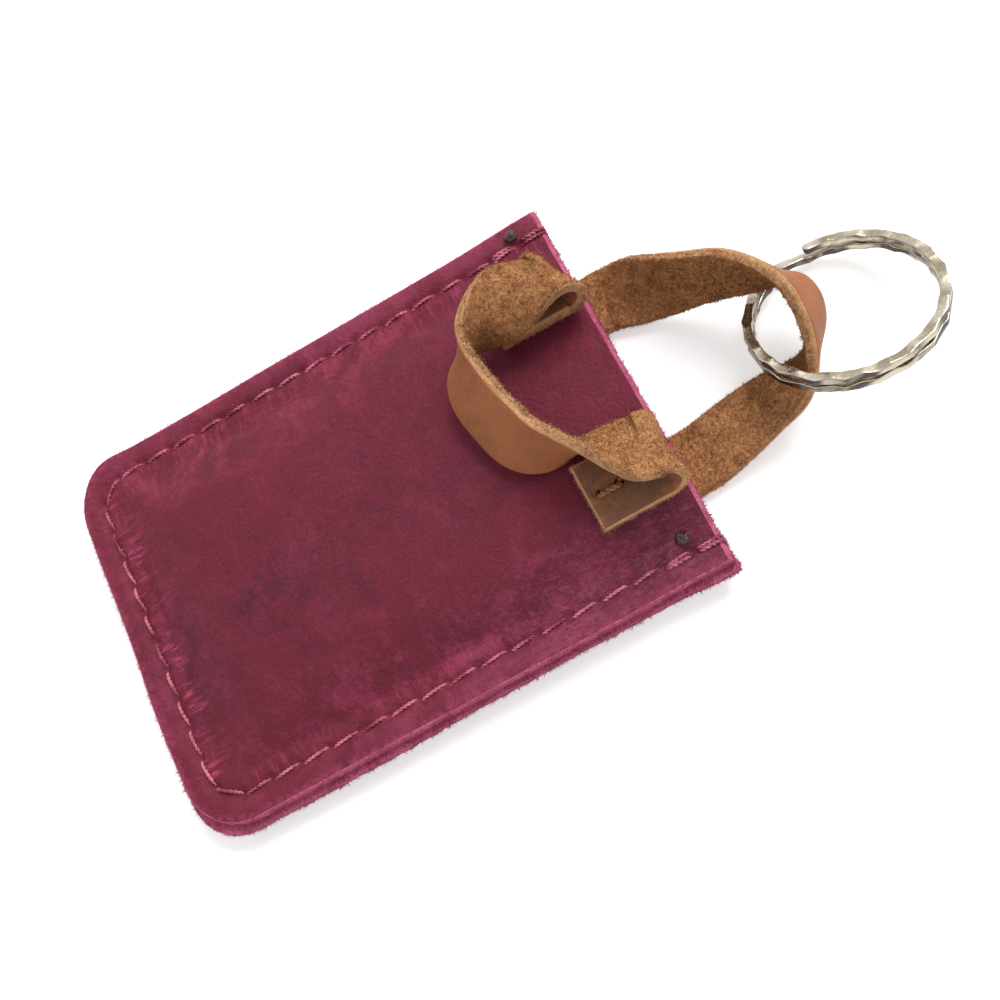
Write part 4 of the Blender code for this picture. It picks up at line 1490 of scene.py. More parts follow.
@dataclass
class SaddleSeam:
    """The seam's two threads, its back-stitches at the mouth, the painted shade of its holes and
    its beads.
    """

    seam: SeamLine
    front: Panel
    back: Panel
    thread: TwistedTube = TwistedTube(radius=0.00024, lay=0.0011)
    heavy: TwistedTube = TwistedTube(radius=0.00031, lay=0.0013)
    slant: float = 0.00022
    sunk: float = 0.00035
    turn_aside: float = 0.00046
    back_aside: Pair = (0.00044, 0.00040)
    bead_sizes: Spot = (0.00074, 0.00084, 0.00056)
    bead_lift: float = 0.00030
    hole_sizes: Pair = (0.00066, 0.00042)

    def height(self, place: Array, on_front: bool) -> float:
        """Give the height of the grain side, front or back, at a point of the plan."""
        panel = self.front if on_front else self.back
        return float(panel.grain_height(np.array([place[0]]), np.array([place[1]]))[0])

    def stitch(self, start: Array, end: Array, side: Array, on_front: bool,
               lateral: Pair) -> list[Array]:
        """Give the points of one stitch on a face.

        Args:
            start: The hole that it leaves.
            end: The hole that it enters.
            side: The outward side of the seam.
            on_front: Which face it lies on.
            lateral: How far aside it lies at either end.

        Returns:
            Its points.
        """
        up = 1.0 if on_front else -1.0
        radius = self.thread.radius
        points = []
        for share, lift in ((0.06, -self.sunk), (0.17, 0.0), (0.33, radius * 0.70),
                            (0.50, radius * 0.90), (0.67, radius * 0.70), (0.83, 0.0),
                            (0.94, -self.sunk)):
            flat = start + (end - start) * share
            aside = lateral[0] + (lateral[1] - lateral[0]) * share
            level = self.height(flat, on_front)
            flat = flat + side * aside
            points.append(np.array([flat[0], flat[1], level + up * lift]))
        return points

    def running(self, front_first: bool) -> Array:
        """Give the path of one of the two running threads.

        Args:
            front_first: Whether its first stitch lies on the front.

        Returns:
            Its points.
        """
        holes = self.seam.holes()
        points: list[Array] = []
        if front_first:
            points += self.wrap(holes[0], 0.0, True)
        for step, (start, end) in enumerate(zip(holes, holes[1:])):
            on_front = (step % 2 == 0) == front_first
            aside = self.slant if on_front else -self.slant
            points += self.stitch(start[0], end[0], end[2], on_front, (-aside, aside))
        if front_first:
            points += self.wrap(holes[-1], 0.0, False)[::-1]
        return np.array(points)

    def wrap(self, hole: tuple[Array, Array, Array], aside: float, from_front: bool) -> list[Array]:
        """Give the points of a turn round the mouth's edge beside an end hole.

        Args:
            hole: The hole.
            aside: How far aside the turn lies.
            from_front: Whether its loose end lies on the front.

        Returns:
            Its points, from the loose end to the hole.
        """
        radius = self.thread.radius
        x = hole[0][0] + hole[2][0] * aside
        y, mouth = hole[0][1], self.seam.mouth_y
        near, middle = y + 0.0006, (y + mouth) / 2
        rows = []
        for on_front in (from_front, not from_front):
            up = 1.0 if on_front else -1.0
            rows.append([
                (place, self.height(np.array([x, under]), on_front) + up * radius * lift)
                for place, under, lift in (
                    (near, near, 0.4), (middle, middle, 1.0), (mouth - 0.0004, mouth - 0.0007, 0.8),
                    (mouth + radius * 0.7, mouth - 0.0004, -1.2))])
        sign = 1.0 if from_front else -1.0
        path = rows[0] + rows[1][::-1]
        path.append((y, self.height(hole[0], not from_front) + sign * self.sunk * 1.5))
        path.append((y - 0.0001, self.height(hole[0], from_front) - sign * self.sunk))
        return [np.array([x, along, level]) for along, level in path]

    def backstitch(self, side: Side) -> Array:
        """Give the second turn of thread at one end of the mouth.

        Args:
            side: Which end.

        Returns:
            Its path.
        """
        holes = self.seam.holes()
        first, second = (holes[0], holes[1]) if side is Side.RIGHT else (holes[-1], holes[-2])
        points = self.wrap(first, self.turn_aside, True)
        points += self.stitch(first[0], second[0], first[2], True, self.back_aside)
        return np.array(points)

    def build(self) -> None:
        """Build the threads, holes and beads."""
        for name, front_first in (("seam_thread_first", True), ("seam_thread_second", False)):
            draft = MeshDraft()
            self.thread.sweep(draft, self.running(front_first), 0)
            self.carry(draft.build(name + "_twist", (wardrobe().rose_thread,)), name, "rose_thread")
        for side in Side:
            draft = MeshDraft()
            self.heavy.sweep(draft, self.backstitch(side), 0)
            thread = draft.build("seam_backstitch_" + side.name.lower(), (wardrobe().rose_thread,))
            self.carry(thread, None, "rose_thread")
            self.bead(side)
        self.holes()

    @staticmethod
    def carry(thing: bpy.types.Object, node: str | None, slot: str) -> None:
        """Let a piece ride on the pouch.

        Args:
            thing: The piece.
            node: The solid that it stands for, if it does.
            slot: Not used.
        """
        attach(thing, "pouch")
        if node is not None:
            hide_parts(node)

    def bead(self, side: Side) -> None:
        """Build the melted thread end beside one end of the mouth.

        Args:
            side: Which end.
        """
        name = "seam_knot_" + side.name.lower()
        low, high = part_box(name)
        centre = np.array((low + high) / 2)
        centre[2] = self.height(centre[:2], True) + self.bead_lift
        turns = ring_turns(28)
        ring = np.array([[(math.cos(tilt) * math.cos(turn), math.cos(tilt) * math.sin(turn),
                           math.sin(tilt)) for turn in turns]
                         for tilt in np.linspace(-1.35, 1.45, 16)])
        shape = ring.reshape(-1, 3)
        swell = (1.0 + 0.22 * lumps(shape, 0.7, 3.0 + side.value)
                 + 0.10 * lumps(shape, 0.3, 5.0))
        points = centre + shape * swell[:, None] * np.array(self.bead_sizes)
        draft = MeshDraft()
        add_tube(draft, points.reshape(ring.shape), 0)
        self.carry(draft.build(name + "_melted", (wardrobe().melted,)), name, "melted_thread")

    def holes(self) -> None:
        """Build the awl holes on both faces as painted shade: dark dished discs, not openings."""
        draft = MeshDraft()
        turns = ring_turns(14)
        length, width = self.hole_sizes
        for place, along, out in self.seam.holes():
            for on_front in (True, False):
                up = 1.0 if on_front else -1.0
                level = self.height(place, on_front)
                rings = []
                for share, lift in ((1.0, -0.00004), (0.92, 0.00006), (0.75, 0.00003),
                                    (0.45, -0.00010)):
                    flat = (place + np.cos(turns)[:, None] * along * length * share
                            + np.sin(turns)[:, None] * out * width * share)
                    rings.append(np.column_stack([flat, np.full(len(turns), level + up * lift)]))
                ring = np.array(rings)
                add_tube(draft, ring if on_front else ring[:, ::-1], 0)
        self.carry(draft.build("seam_awl_hole_shade", (wardrobe().hole,)), None, "burgundy_leather")


@dataclass
class Pouch:
    """The sewn pouch: two panels and the seam that joins them."""

    seam: SeamLine = SeamLine()
    strap_thickness: float = 0.0016
    strap_gap: float = 0.0003
    panel_gap: float = 0.0003
    belly_top_y: float = 0.02275

    def __post_init__(self) -> None:
        """Lay the back panel over the straps' sewn ends, and the front panel over it."""
        back_z = self.strap_thickness + self.strap_gap
        # Each pull of the outline has its place, its reach and how far out it goes
        self.back = Panel(
            "back_panel", self.seam, grain_up=False, rest_z=back_z, crown_height=0.0023,
            plateau_share=0.52, belly_top_y=self.belly_top_y, grow=0.0005, seed=2.0,
            pulls=(((0.0235, -0.0325), 0.0045, 0.00085), ((0.0255, -0.0150), 0.0110, 0.00040),
                   ((0.0255, 0.0330), 0.0040, 0.00040), ((-0.0255, 0.0340), 0.0050, -0.00030)))
        front_z = back_z + self.back.thickness + self.panel_gap
        self.front = Panel(
            "front_panel", self.seam, grain_up=True, rest_z=front_z, crown_height=0.0042,
            plateau_share=0.45, belly_top_y=None, grow=0.0, seed=1.0,
            pulls=(((-0.0245, -0.0300), 0.0035, 0.00035), ((-0.0250, 0.0343), 0.0060, 0.00030),
                   ((0.0120, -0.0343), 0.0080, 0.00030)))

    def build(self) -> None:
        """Build the pouch."""
        self.front.build()
        self.back.build()
        SaddleSeam(self.seam, self.front, self.back).build()


# Handles

# Each arch's middle line from its right root to its left: across as a share of the
# sewn ends' place, out as a share of the reach, up as a share of the strap's width, and
# the roll about its run, in degrees
BACK_ARCH = (
    (1.00, 0.00, 0.00, 0), (0.95, 0.24, 0.08, 8), (0.89, 0.475, 0.17, 21),
    (0.85, 0.695, 0.275, 36), (0.75, 0.865, 0.425, 72), (0.57, 0.965, 0.675, 102),
    (0.325, 1.00, 0.93, 120), (0.075, 0.965, 1.06, 120), (-0.14, 0.85, 1.03, 98),
    (-0.37, 0.70, 0.865, 80), (-0.56, 0.525, 0.645, 70), (-0.73, 0.35, 0.415, 52),
    (-0.885, 0.18, 0.205, 27), (-1.00, 0.00, 0.00, 0),
)
FRONT_ARCH = (
    (0.885, 0.00, 0.00, 9), (0.785, 0.19, 0.05, 33), (0.64, 0.41, 0.13, 67),
    (0.53, 0.61, 0.15, 98), (0.40, 0.78, 0.14, 121), (0.22, 0.89, 0.12, 131),
    (-0.04, 0.96, 0.16, 131), (-0.32, 1.00, 0.25, 130), (-0.56, 0.96, 0.31, 121),
    (-0.73, 0.83, 0.34, 95), (-0.83, 0.62, 0.37, 62), (-0.91, 0.42, 0.30, 31),
    (-0.96, 0.22, 0.23, -6), (-0.98, 0.00, 0.16, -27),
)


@dataclass
class Handle:
    """A strap handle: one strap, sewn down at both ends and free between them."""

    name: str
    body: str
    panel: Panel
    on_front: bool
    arch: Sequence[tuple[float, float, float, float]]
    reach: float
    hinge_y: float
    seed: float
    width: float = 0.0080
    thickness: float = 0.0016
    gap: float = 0.0003
    offset: float = 0.0118
    tab_start: float = 0.02345
    lead: float = 0.0004
    fold_rise: float = 0.0027
    fold_bulge: float = 0.0012
    fold_short: Pair = (0.0, 0.0)
    fold_skew: Pair = (0.0, 0.0)
    fold_reach: float = 0.0036
    bend_length: float = 0.0013
    bend_gap: float = 0.0003
    row_first: float = 0.0012
    row_pitch: float = 0.0028
    row_holes: int = 3
    raw_lip: float = 0.00030
    uneven: float = 0.025
    uneven_size: float = 0.0070
    spacing: float = 0.00020
    tab_steps: int = 24
    bend_steps: int = 8
    fold_steps: int = 24
    arch_steps: int = 16
    easing: tuple[int, ...] = (4, 4, 4, 11, 11, 11)
    edge_roll: float = 0.00050
    roll_drop: float = 0.00042
    thinned: Pair = (0.00018, 0.00030)
    dish: float = 0.00012
    nap: Sequence[Spot] = ((0.000110, 0.00055, 1.0), (0.000090, 0.0018, 2.0))
    swell: Sequence[Spot] = ((0.000030, 0.0030, 3.0),)
    frayed: Sequence[Spot] = ((0.00007, 0.00035, 5.0), (0.00007, 0.0013, 6.0))
    wall_swell: float = 0.00005
    hole_dent: Pair = (0.00045, 0.00055)
    row_dent: Pair = (0.00010, 0.00070)
    suede_fibres: int = 15000
    rim_fibres: int = 6000
    hole_sizes: Pair = (0.00064, 0.00056)
    hole_sunk: float = 0.00040
    thread_sunk: float = 0.00012
    thread: TwistedTube = TwistedTube(radius=0.00036, lay=0.0014)

    def tab_frame(self, side: Side) -> tuple[Array, Array, Array]:
        """Give the frame of a sewn end.

        Args:
            side: Which end.

        Returns:
            The middle of the strap at y zero, its width direction and the way off the
            panel.
        """
        x = np.array([self.offset])
        mouth = np.array([self.panel.seam.mouth_y])
        if not self.on_front:
            off = np.array([0.0, 0.0, -1.0])
            middle = np.array([side.value * self.offset, 0.0, self.panel.rest_z])
            middle = middle + off * (self.gap + self.thickness / 2)
            return middle, np.array([side.value, 0.0, 0.0]), off
        step = 1e-5
        level = float(self.panel.underside(x, mouth)[0])
        tilt = math.atan((level - float(self.panel.underside(x + step, mouth)[0])) / step)
        off = np.array([side.value * math.sin(tilt), 0.0, math.cos(tilt)])
        base = np.array([side.value * self.offset, 0.0, level])
        middle = base + off * (self.panel.thickness + self.gap + self.thickness / 2)
        return middle, np.array([side.value * off[2], 0.0, -abs(off[0])]), off

    def arch_rows(self) -> Array:
        """Give the free arch as rows of middle point and width direction.

        Returns:
            The rows, from the right root to the left.
        """
        middle, _, _ = self.tab_frame(Side.RIGHT)
        if self.on_front:
            root = np.array([middle[0], self.hinge_y - 2 * self.bend_gap - self.lead,
                             middle[2] + self.fold_rise])
        else:
            root = np.array([middle[0], self.hinge_y + self.bend_length + self.bend_gap + self.lead,
                             middle[2]])
        reach = -self.reach if self.on_front else self.reach
        rows = np.array(self.arch, float)
        mirrored = rows[[1, -2]] * np.array([1.0, -1.0, 1.0, 1.0])
        curve = spline(np.concatenate([mirrored[:1], rows, mirrored[1:]]), self.arch_steps)
        points = np.column_stack([root[0] * curve[:, 0], root[1] + reach * curve[:, 1],
                                  root[2] + self.width * curve[:, 2]])
        run = unit(np.gradient(points, axis=0))
        run[[0, -1]] = run[[0, -1]] * np.array([0.0, 1.0, 0.0])
        run = unit(run)
        right = unit(np.cross(run, (0.0, 0.0, 1.0)))
        above = np.cross(right, run)
        roll = np.radians(curve[:, 3])[:, None]
        turn = -1.0 if self.on_front else 1.0
        return np.column_stack([points, right * turn * np.cos(roll) + above * np.sin(roll)])

    def end_rows(self, side: Side, root: Array) -> Array:
        """Give a sewn end and its bend, with how far each row follows the handle.

        Args:
            side: Which end.
            root: The arch's row at that end.

        Returns:
            Rows of middle point, width direction and weight, from the loose end on.
        """
        base, width, _ = self.tab_frame(side)
        turn_y = self.hinge_y - self.fold_short[0 if side is Side.RIGHT else 1]
        rows = [[base[0], y, base[2], *width, 0.0]
                for y in np.linspace(self.tab_start, turn_y, self.tab_steps)]
        start = np.array([base[0], turn_y, base[2]])
        if not self.on_front:
            length = self.bend_length + self.bend_gap
            for share in np.linspace(0.0, 1.0, self.bend_steps + 1)[1:-1]:
                rows.append([start[0], start[1] + length * share, start[2], *width, share])
            return np.array(rows)
        end = np.array([root[0], turn_y, root[2]])
        for share in np.linspace(0.0, 1.0, self.fold_steps + 1)[1:]:
            turn = math.pi * share
            middle = start + (end - start) * (1.0 - math.cos(turn)) / 2
            middle[1] += self.fold_bulge * math.sin(turn)
            across = unit((width + (root[3:6] - width) * share)[None])[0]
            rows.append([*middle, *across, share])
        return np.array(rows)

    def stations(self) -> tuple[Array, Array, Array, Array]:
        """Give the whole strap's stations.

        Returns:
            The middle points, the width directions, the run directions, and how far
            each station follows the handle.
        """
        arch = self.arch_rows()
        arch = np.column_stack([arch, np.ones(len(arch))])
        right = self.end_rows(Side.RIGHT, arch[0])
        left = self.end_rows(Side.LEFT, arch[-1])
        rows = resample(np.concatenate([right, arch, left[::-1]]), self.spacing)
        eased = rows.copy()
        for column, reach in enumerate(self.easing):
            window = np.hanning(2 * reach + 1)
            padded = np.pad(rows[:, column], reach, mode="reflect", reflect_type="odd")
            eased[:, column] = np.convolve(padded, window / window.sum(), mode="valid")
        run = unit(np.gradient(eased[:, :3], axis=0))
        width = eased[:, 3:6]
        width = unit(width - run * np.sum(width * run, axis=1, keepdims=True))
        return eased[:, :3], width, run, smoothstep(rows[:, 6])

    def levels(self, strip: Array, total: float, from_edge: Array, aside: Array,
               through: Array) -> Array:
        """Give each point's level above the strap's middle, on its grain side.

        Args:
            strip: Places on the strap laid flat, as across and along.
            total: The strap's length.
            from_edge: How far each place lies from the cut edge.
            aside: How far it lies from the middle line, 1 at the edges.
            through: Its share of the way from the suede side to the grain side.

        Returns:
            The levels.
        """
        roll = np.clip(1.0 - from_edge / self.edge_roll, 0.0, 1.0)
        rounding = self.roll_drop * (1.0 - np.sqrt(np.maximum(1.0 - roll ** 2, 0.0)))
        thin = np.clip(1.0 - from_edge / self.thinned[1], 0.0, 1.0) ** 2
        nap = layered(strip, self.seed, self.nap) - self.thinned[0] * thin
        swell = layered(strip, self.seed, self.swell)
        dents = self.row_dents(strip, total) + self.dish * aside ** 4
        high = self.thickness / 2 - rounding + swell - dents
        low = -self.thickness / 2 - nap
        return low + (high - low) * through

    def build(self) -> None:
        """Build the strap and its stitches."""
        middle, width, run, weight = self.stations()
        flesh_sign = 1.0 if self.on_front else -1.0
        count = len(middle)
        total = (count - 1) * self.spacing
        edge = np.array([0.0, 0.00010, 0.00022, 0.00040, 0.00062]) / self.width
        inner = np.linspace(0.0009, self.width - 0.0009, 28) / self.width
        slab = Slab(np.concatenate([edge, inner, (1.0 - edge)[::-1]]),
                    np.linspace(0.0, 1.0, count), np.linspace(0.0, 1.0, 8))
        shares, faces, sides = slab.surface()
        station = np.rint(shares[:, 1] * (count - 1)).astype(int)
        flesh = flesh_sign * np.cross(run, width)[station]
        across_way, run = flesh_sign * width[station], run[station]
        length = station * self.spacing
        stray = lumps(np.column_stack([length, length * 0]), self.uneven_size, self.seed)
        half = self.width / 2 * (1.0 + self.uneven * stray)
        across = (2.0 * shares[:, 0] - 1.0) * half
        from_edge = np.maximum(half - np.abs(across), 0.0)
        from_edge = np.minimum(from_edge, np.minimum(length, total - length))
        strip = np.column_stack([shares[:, 0] * self.width, length])
        level = self.levels(strip, total, from_edge, across / half, shares[:, 2])
        off_across, off_along = end_signs(shares[:, 0]), end_signs(shares[:, 1])
        on_wall = ((off_across != 0.0) | (off_along != 0.0)) & (end_signs(shares[:, 2]) == 0.0)
        seat = np.column_stack([across, length, level])
        fray = layered(seat, self.seed, self.frayed) + self.wall_swell
        fray = np.where(on_wall, fray, 0.0)
        points = (middle[station] + across_way * (across + off_across * fray)[:, None]
                  - flesh * level[:, None] + run * (off_along * fray)[:, None])
        # A fold that turns on a slant has one edge pulled in
        far = count // 2
        folds = (np.argmax(middle[:far, 1]), far + np.argmax(middle[far:, 1]))
        for fold, skew in zip(folds, self.fold_skew):
            near = bell(length - fold * self.spacing, self.fold_reach)
            points[:, 1] -= skew * shares[:, 0] * near
        on_rim = from_edge[np.array(faces)].max(axis=1) < self.raw_lip
        draft = MeshDraft()
        draft.add(points, faces, leather_slots(sides, True, on_rim), weight[station])
        outward = across_way * off_across[:, None] + run * off_along[:, None]
        self.fluff(draft, shares, points, flesh, outward, on_wall, weight[station])
        strap = draft.build(self.name + "_strap",
                            (wardrobe().strap_grain, wardrobe().strap_suede, wardrobe().strap_edge))
        self.join(strap, draft, middle, weight)
        self.stitches()

    def row_dents(self, strip: Array, total: float) -> Array:
        """Give how deep the stitch rows are pulled into the grain side.

        Args:
            strip: Places on the strap laid flat, as across and along.
            total: The strap's length.

        Returns:
            The depths.
        """
        depth = np.zeros(len(strip))
        along = np.minimum(strip[:, 1], total - strip[:, 1])
        off_middle = strip[:, 0] - self.width / 2
        for hole in range(self.row_holes):
            apart = np.hypot(off_middle, along - self.row_first - self.row_pitch * hole)
            depth += self.hole_dent[0] * bell(apart, self.hole_dent[1])
        last = self.row_first + self.row_pitch * (self.row_holes - 1)
        fade = 0.0004
        inside = smoothstep((along - self.row_first) / fade) * smoothstep((last - along) / fade)
        return depth + self.row_dent[0] * bell(off_middle, self.row_dent[1]) * inside

    def fluff(self, draft: MeshDraft, shares: Array, points: Array, flesh: Array, outward: Array,
              on_wall: Array, weight: Array) -> None:
        """Add loose fibres to the suede side and the cut edges.

        Args:
            draft: The strap's draft.
            shares: Its lattice shares.
            points: Its points.
            flesh: The way that the suede side faces at each point.
            outward: The way off the cut edge at each.
            on_wall: Which points lie on a cut edge.
            weight: How far each follows the handle.
        """
        random = np.random.default_rng(int(self.seed) + 40)
        under = np.nonzero(shares[:, 2] == 0.0)[0]
        chosen = random.choice(under, size=self.suede_fibres)
        nap = Fibres(shortest=0.00018, longest=0.00062, radius=0.000044,
                     seed=int(self.seed) + 41, lean_share=1.1, bend_share=0.9)
        nap.grow(draft, points[chosen], flesh[chosen], Surface.FLESH.value, weight[chosen])
        rims = np.nonzero(on_wall)[0]
        chosen = random.choice(rims, size=self.rim_fibres)
        fringe = Fibres(shortest=0.00012, longest=0.00055, radius=0.000040,
                        seed=int(self.seed) + 42, lean_share=0.8, bend_share=0.8)
        fringe.grow(draft, points[chosen], unit(outward[chosen] + 0.6 * flesh[chosen]),
                    Surface.CUT.value, weight[chosen])

    def join(self, strap: bpy.types.Object, draft: MeshDraft, middle: Array, weight: Array) -> None:
        """Bake the strap's place into its mesh and hide the solids that it stands for.

        Args:
            strap: The strap.
            draft: Its draft, which knows how far each point follows the handle.
            middle: The stations' middle points.
            weight: How far each station follows the handle.
        """
        lip = int(np.argmax(weight > 0.0))
        root = int(np.argmax(weight >= 1.0))
        tuple(middle[lip])
        tuple(middle[root])
        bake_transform(strap)
        values = np.concatenate(draft.weights).astype(np.float32)
        ends = [f"{self.name}_{part}_{side.name.lower()}"
                for part in ("tab", "bend") for side in Side]
        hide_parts(self.name + "_loop", *ends)

    def row_path(self, places: Sequence[float], point: Callable[[float, float, float], Array]
                 ) -> Array:
        """Give the thread's path down one stitch row and back beside itself.

        Args:
            places: The holes' places along.
            point: Gives a point from its place along, aside and off the panel.

        Returns:
            The path.
        """
        radius = self.thread.radius
        aside = radius * 0.8
        grain = self.thickness / 2 - self.thread_sunk
        inside = -(self.thickness / 2 + self.gap + self.panel.thickness)
        legs = list(enumerate(zip(places, places[1:])))
        order = [(start, end, step % 2 == 0, aside) for step, (start, end) in legs]
        order += [(end, start, step % 2 == 1, -aside) for step, (start, end) in legs[::-1]]
        path: list[Array] = []
        for start, end, outside, off in order:
            face, up = (grain, 1.0) if outside else (inside, -1.0)
            for share, lift in ((0.03, -0.0004), (0.14, radius * 0.4), (0.38, radius),
                                (0.62, radius), (0.86, radius * 0.4), (0.97, -0.0004)):
                path.append(point(start + (end - start) * share, off, face + up * lift))
        return np.array(path)

    def stitches(self) -> None:
        """Build the stitch rows of both sewn ends."""
        places = [self.tab_start + self.row_first + self.row_pitch * hole
                  for hole in range(self.row_holes)]
        turns = ring_turns(14)
        long, wide = self.hole_sizes
        sunk = self.thickness / 2 - self.hole_sunk
        for side in Side:
            base, width, off = self.tab_frame(side)

            def point(y: float, aside: float, level: float) -> Array:
                """Give a point beside the row."""
                return np.array([base[0], y, base[2]]) + width * aside + off * level

            draft = MeshDraft()
            self.thread.sweep(draft, self.row_path(places, point), 0)
            node = f"{self.name}_stitches_{side.name.lower()}"
            thread = draft.build(node + "_twist", (wardrobe().brown_thread,))
            SaddleSeam.carry(thread, node, "brown_thread")
            # Painted shade: dark dished discs stand for the holes of each stitch row
            draft = MeshDraft()
            for place in places:
                rings = [[point(place + math.cos(turn) * long * share,
                                math.sin(turn) * wide * share, sunk + lift) for turn in turns]
                         for share, lift in ((1.0, 0.0), (0.9, 0.00014), (0.7, 0.00010),
                                             (0.4, 0.0))]
                add_tube(draft, np.array(rings), 0)
            holes = draft.build(node + "_holes", (wardrobe().tan_hole,))
            SaddleSeam.carry(holes, None, "tan_leather")


def end_signs(shares: Array) -> Array:
    """Give -1 where a share is 0, 1 where it is 1, and 0 between them."""
    return np.where((shares == 0.0) | (shares == 1.0), np.sign(shares - 0.5), 0.0)


# Ring


@dataclass
class SplitRing:
    """The hammered split ring: flat wire in two close coils, with a step between them."""

    diameter: float = 0.0230
    wire_width: float = 0.0014
    wire_height: float = 0.00115
    coil_gap: float = 0.00012
    tip_gap: float = 0.08
    tip_angle: float = 176.0
    tip_blunt: Pair = (0.00035, 0.55)
    dents: int = 20
    dent_depth: float = 0.00024
    strengths: Pair = (0.55, 1.25)
    wander: float = 0.16
    wobble: float = 0.00003
    steps_a_turn: int = 240
    corners: int = 32
    squareness: float = 5.0
    centre: Spot = (0.0059, 0.0590, 0.0061)
    across: Spot = (0.91168, 0.0, 0.41089)

    def dent(self, turns: Array, shift: float, seed: int) -> Array:
        """Give how deep the hammer's flats are, 1 in their middle and 0 on their ridges.

        Args:
            turns: Places along the wire, in turns.
            shift: How far the flats are moved along, in flats.
            seed: Which set of blows it is.

        Returns:
            The depths.
        """
        random = np.random.default_rng(seed)
        count = self.dents * 2 + 2
        strength = random.uniform(*self.strengths, count)
        ridges = np.arange(count) + random.uniform(-self.wander, self.wander, count) + shift
        at = turns * self.dents
        cell = np.clip(np.searchsorted(ridges, at) - 1, 0, count - 2)
        low, high = ridges[cell], ridges[cell + 1]
        share = np.clip((at - low) / (high - low), 0.0, 1.0)
        return strength[cell] * (1.0 - (2.0 * share - 1.0) ** 2)

    def section(self, turns: Array, blunt: Array) -> tuple[Array, Array]:
        """Give the wire's hammered section at each place along it.

        Args:
            turns: Places along the wire, in turns.
            blunt: How full the section is there, less by the tips.

        Returns:
            How far out and how far up each of its corners lies, one place a row.
        """
        out, top, inner, low = (
            (self.dent(turns, shift, seed) * self.dent_depth * share)[:, None]
            for shift, seed, share in ((0.0, 3, 1.0), (0.5, 4, 0.9), (0.25, 5, 0.7), (0.4, 6, 0.9)))
        angles = ring_turns(self.corners)
        cosine, sine = np.cos(angles), np.sin(angles)
        flat = self.squareness
        reach = (np.abs(cosine) ** flat + np.abs(sine) ** flat) ** (-1.0 / flat)
        across, up = (cosine * reach)[None], (sine * reach)[None]
        x = (across * self.wire_width / 2 - np.maximum(across, 0.0) ** 2 * out
             + np.maximum(-across, 0.0) ** 2 * inner)
        z = (up * self.wire_height / 2 - np.maximum(up, 0.0) ** 2 * top
             + np.maximum(-up, 0.0) ** 2 * low)
        return x * blunt[:, None], z * blunt[:, None]

    def build(self) -> None:
        """Build the ring in place of its solid."""
        total = 2.0 - self.tip_gap
        turns = np.linspace(0.0, total, round(total * self.steps_a_turn) + 1)
        radius = self.diameter / 2 - self.wire_width / 2
        rise = smoothstep((turns - total / 2) / self.tip_gap + 0.5)
        lift = (self.wire_height + self.coil_gap) * (rise - 0.5)
        angle = np.radians(self.tip_angle) - 2 * math.pi * (total - turns)
        from_tip = np.minimum(turns, total - turns) * 2 * math.pi * radius
        length, least = self.tip_blunt
        blunt = np.sqrt(np.clip(from_tip / length, 0.0, 1.0)) * (1.0 - least) + least
        x, z = self.section(turns, blunt)
        wobble = self.wobble * lumps(np.column_stack([turns * 3.0, turns * 0.0]), 1.0, 2.0)
        out = radius + x + wobble[:, None]
        local = np.stack([out * np.cos(angle)[:, None], out * np.sin(angle)[:, None],
                          z + lift[:, None]], axis=-1)
        first, second = np.array(self.across), (0.0, 1.0, 0.0)
        normal = unit(np.cross(first, second)[None])[0]
        rings = np.array(self.centre) + local @ np.array([first, second, normal])
        draft = MeshDraft()
        add_tube(draft, rings[:, ::-1], 0)
        # The bright and dull colours are painted reflections: bright on the broad faces, dull on
        # the narrow sides
        metal = HammeredMetal("hammered_nickel_wire", bright=srgb(204, 194, 176),
                              warm=srgb(158, 148, 126), dull=srgb(80, 73, 74),
                              normal=tuple(normal)).make()
        ring = draft.build("key_ring_wire", (metal,))
        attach(ring, "ring")
        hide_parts("key_ring")


# Studio


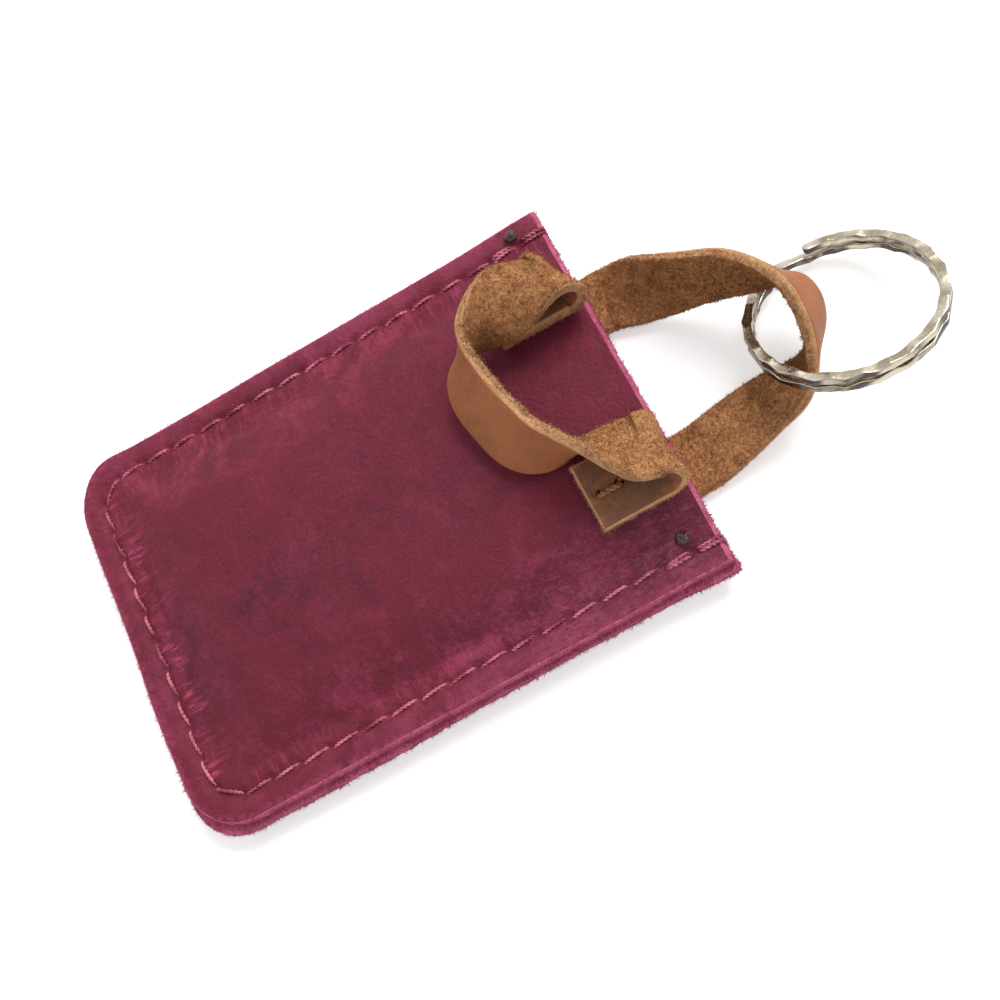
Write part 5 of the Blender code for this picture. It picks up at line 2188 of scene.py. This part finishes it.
@dataclass(frozen=True)
class Studio:
    """The camera, the pale floor and the soft light."""

    camera_place: Spot = (0.0484, 0.0267, 0.1322)
    camera_look: Spot = (-0.318, -0.092, -0.944)
    camera_right: Spot = (0.436, 0.870, -0.231)
    lens: float = 41.4
    sensor: float = 36.0
    clips: Pair = (0.005, 10.0)
    floor_half: float = 1.5
    floor_drop: float = 0.0001
    floor_roughness: float = 0.9
    floor_grey: float = 0.86
    floor_glow: float = 0.47
    white: Colour = (1.0, 1.0, 1.0)
    world_light: float = 0.57
    world_seen: float = 0.43
    key_way: Spot = (-0.50, 0.60, 0.90)
    key_strength: float = 2.05
    key_spread: float = 32.0

    @staticmethod
    def seen(board: NodeBoard) -> Socket:
        """Give 1 where the camera sees a surface, straight, mirrored or through glass.

        Args:
            board: The board of the surface's material or of the world.

        Returns:
            The mask.
        """
        rays = board.node("ShaderNodeLightPath").outputs
        straight = board.math("MAXIMUM", rays["Is Camera Ray"], rays["Is Glossy Ray"])
        return board.math("MAXIMUM", straight, rays["Is Transmission Ray"])

    def camera(self) -> None:
        """Place the camera as the photograph was taken."""
        data = bpy.data.cameras.new("studio_camera")
        data.sensor_width = self.sensor
        data.lens = self.lens
        data.clip_start, data.clip_end = self.clips
        thing = bpy.data.objects.new("studio_camera", data)
        bpy.context.scene.collection.objects.link(thing)
        look = Vector(self.camera_look).normalized()
        down = look.cross(Vector(self.camera_right)).normalized()
        right = down.cross(look).normalized()
        matrix = Matrix((right, -down, -look)).transposed().to_4x4()
        matrix.translation = Vector(self.camera_place)
        thing.matrix_world = matrix
        bpy.context.scene.camera = thing

    def floor(self) -> None:
        """Lay the white floor, which keeps the object's shadow."""
        material, board, shader = new_material("studio_white", self.floor_roughness, specular=0.0)
        board.dress(shader, base_color=[self.floor_grey] * 3, emission_color=self.white,
                    emission_strength=board.times(self.seen(board), self.floor_glow))
        half = self.floor_half
        level = CAD_BOX[0].z - self.floor_drop
        corners = [[-half, -half, level], [half, -half, level], [half, half, level],
                   [-half, half, level]]
        draft = MeshDraft()
        draft.add(np.array(corners), [(0, 1, 2, 3)], 0)
        draft.build("studio_floor", (material,))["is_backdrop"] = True

    def light(self) -> None:
        """Light the scene softly, mostly from beyond the mouth."""
        world = bpy.data.worlds.new("studio_world")
        world.use_nodes = True
        bpy.context.scene.world = world
        board = NodeBoard(world.node_tree)
        background = world.node_tree.nodes["Background"]
        background.inputs["Color"].default_value = (*self.white, 1.0)
        board.feed(background.inputs["Strength"], board.math(
            "MULTIPLY_ADD", self.seen(board), self.world_seen, self.world_light))
        data = bpy.data.lights.new("key_light", "SUN")
        data.energy = self.key_strength
        data.angle = math.radians(self.key_spread)
        lamp = bpy.data.objects.new("key_light", data)
        lamp.rotation_mode = "QUATERNION"
        lamp.rotation_quaternion = Vector(self.key_way).to_track_quat("Z", "Y")
        bpy.context.scene.collection.objects.link(lamp)

    def build(self) -> None:
        """Build the studio."""
        self.camera()
        self.floor()
        self.light()
        bpy.context.scene.view_settings.view_transform = "Standard"


def write_sizes() -> None:
    """Work out the solids' box and the finished object's box."""
    boxes = {"cad": CAD_BOX, "visual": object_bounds()}
    plain = {name: [list(corner) for corner in box] for name, box in boxes.items()}


def main() -> None:
    """Build the studio, the pouch, the handles and the ring."""
    logging.basicConfig(level=logging.INFO, format="%(message)s")
    Studio().build()
    pouch = Pouch()
    pouch.build()
    Handle("front_handle", "front_handle", pouch.front, on_front=True, arch=FRONT_ARCH,
           reach=0.0137, hinge_y=0.03265, seed=20.0, fold_short=(0.0007, 0.0002),
           fold_skew=(0.0, 0.0027)).build()
    Handle("back_handle", "back_handle", pouch.back, on_front=False, arch=BACK_ARCH,
           reach=0.0189, hinge_y=0.03465, seed=30.0, uneven=0.008).build()
    SplitRing().build()
    write_sizes()


if __name__ == "__main__":
    main()
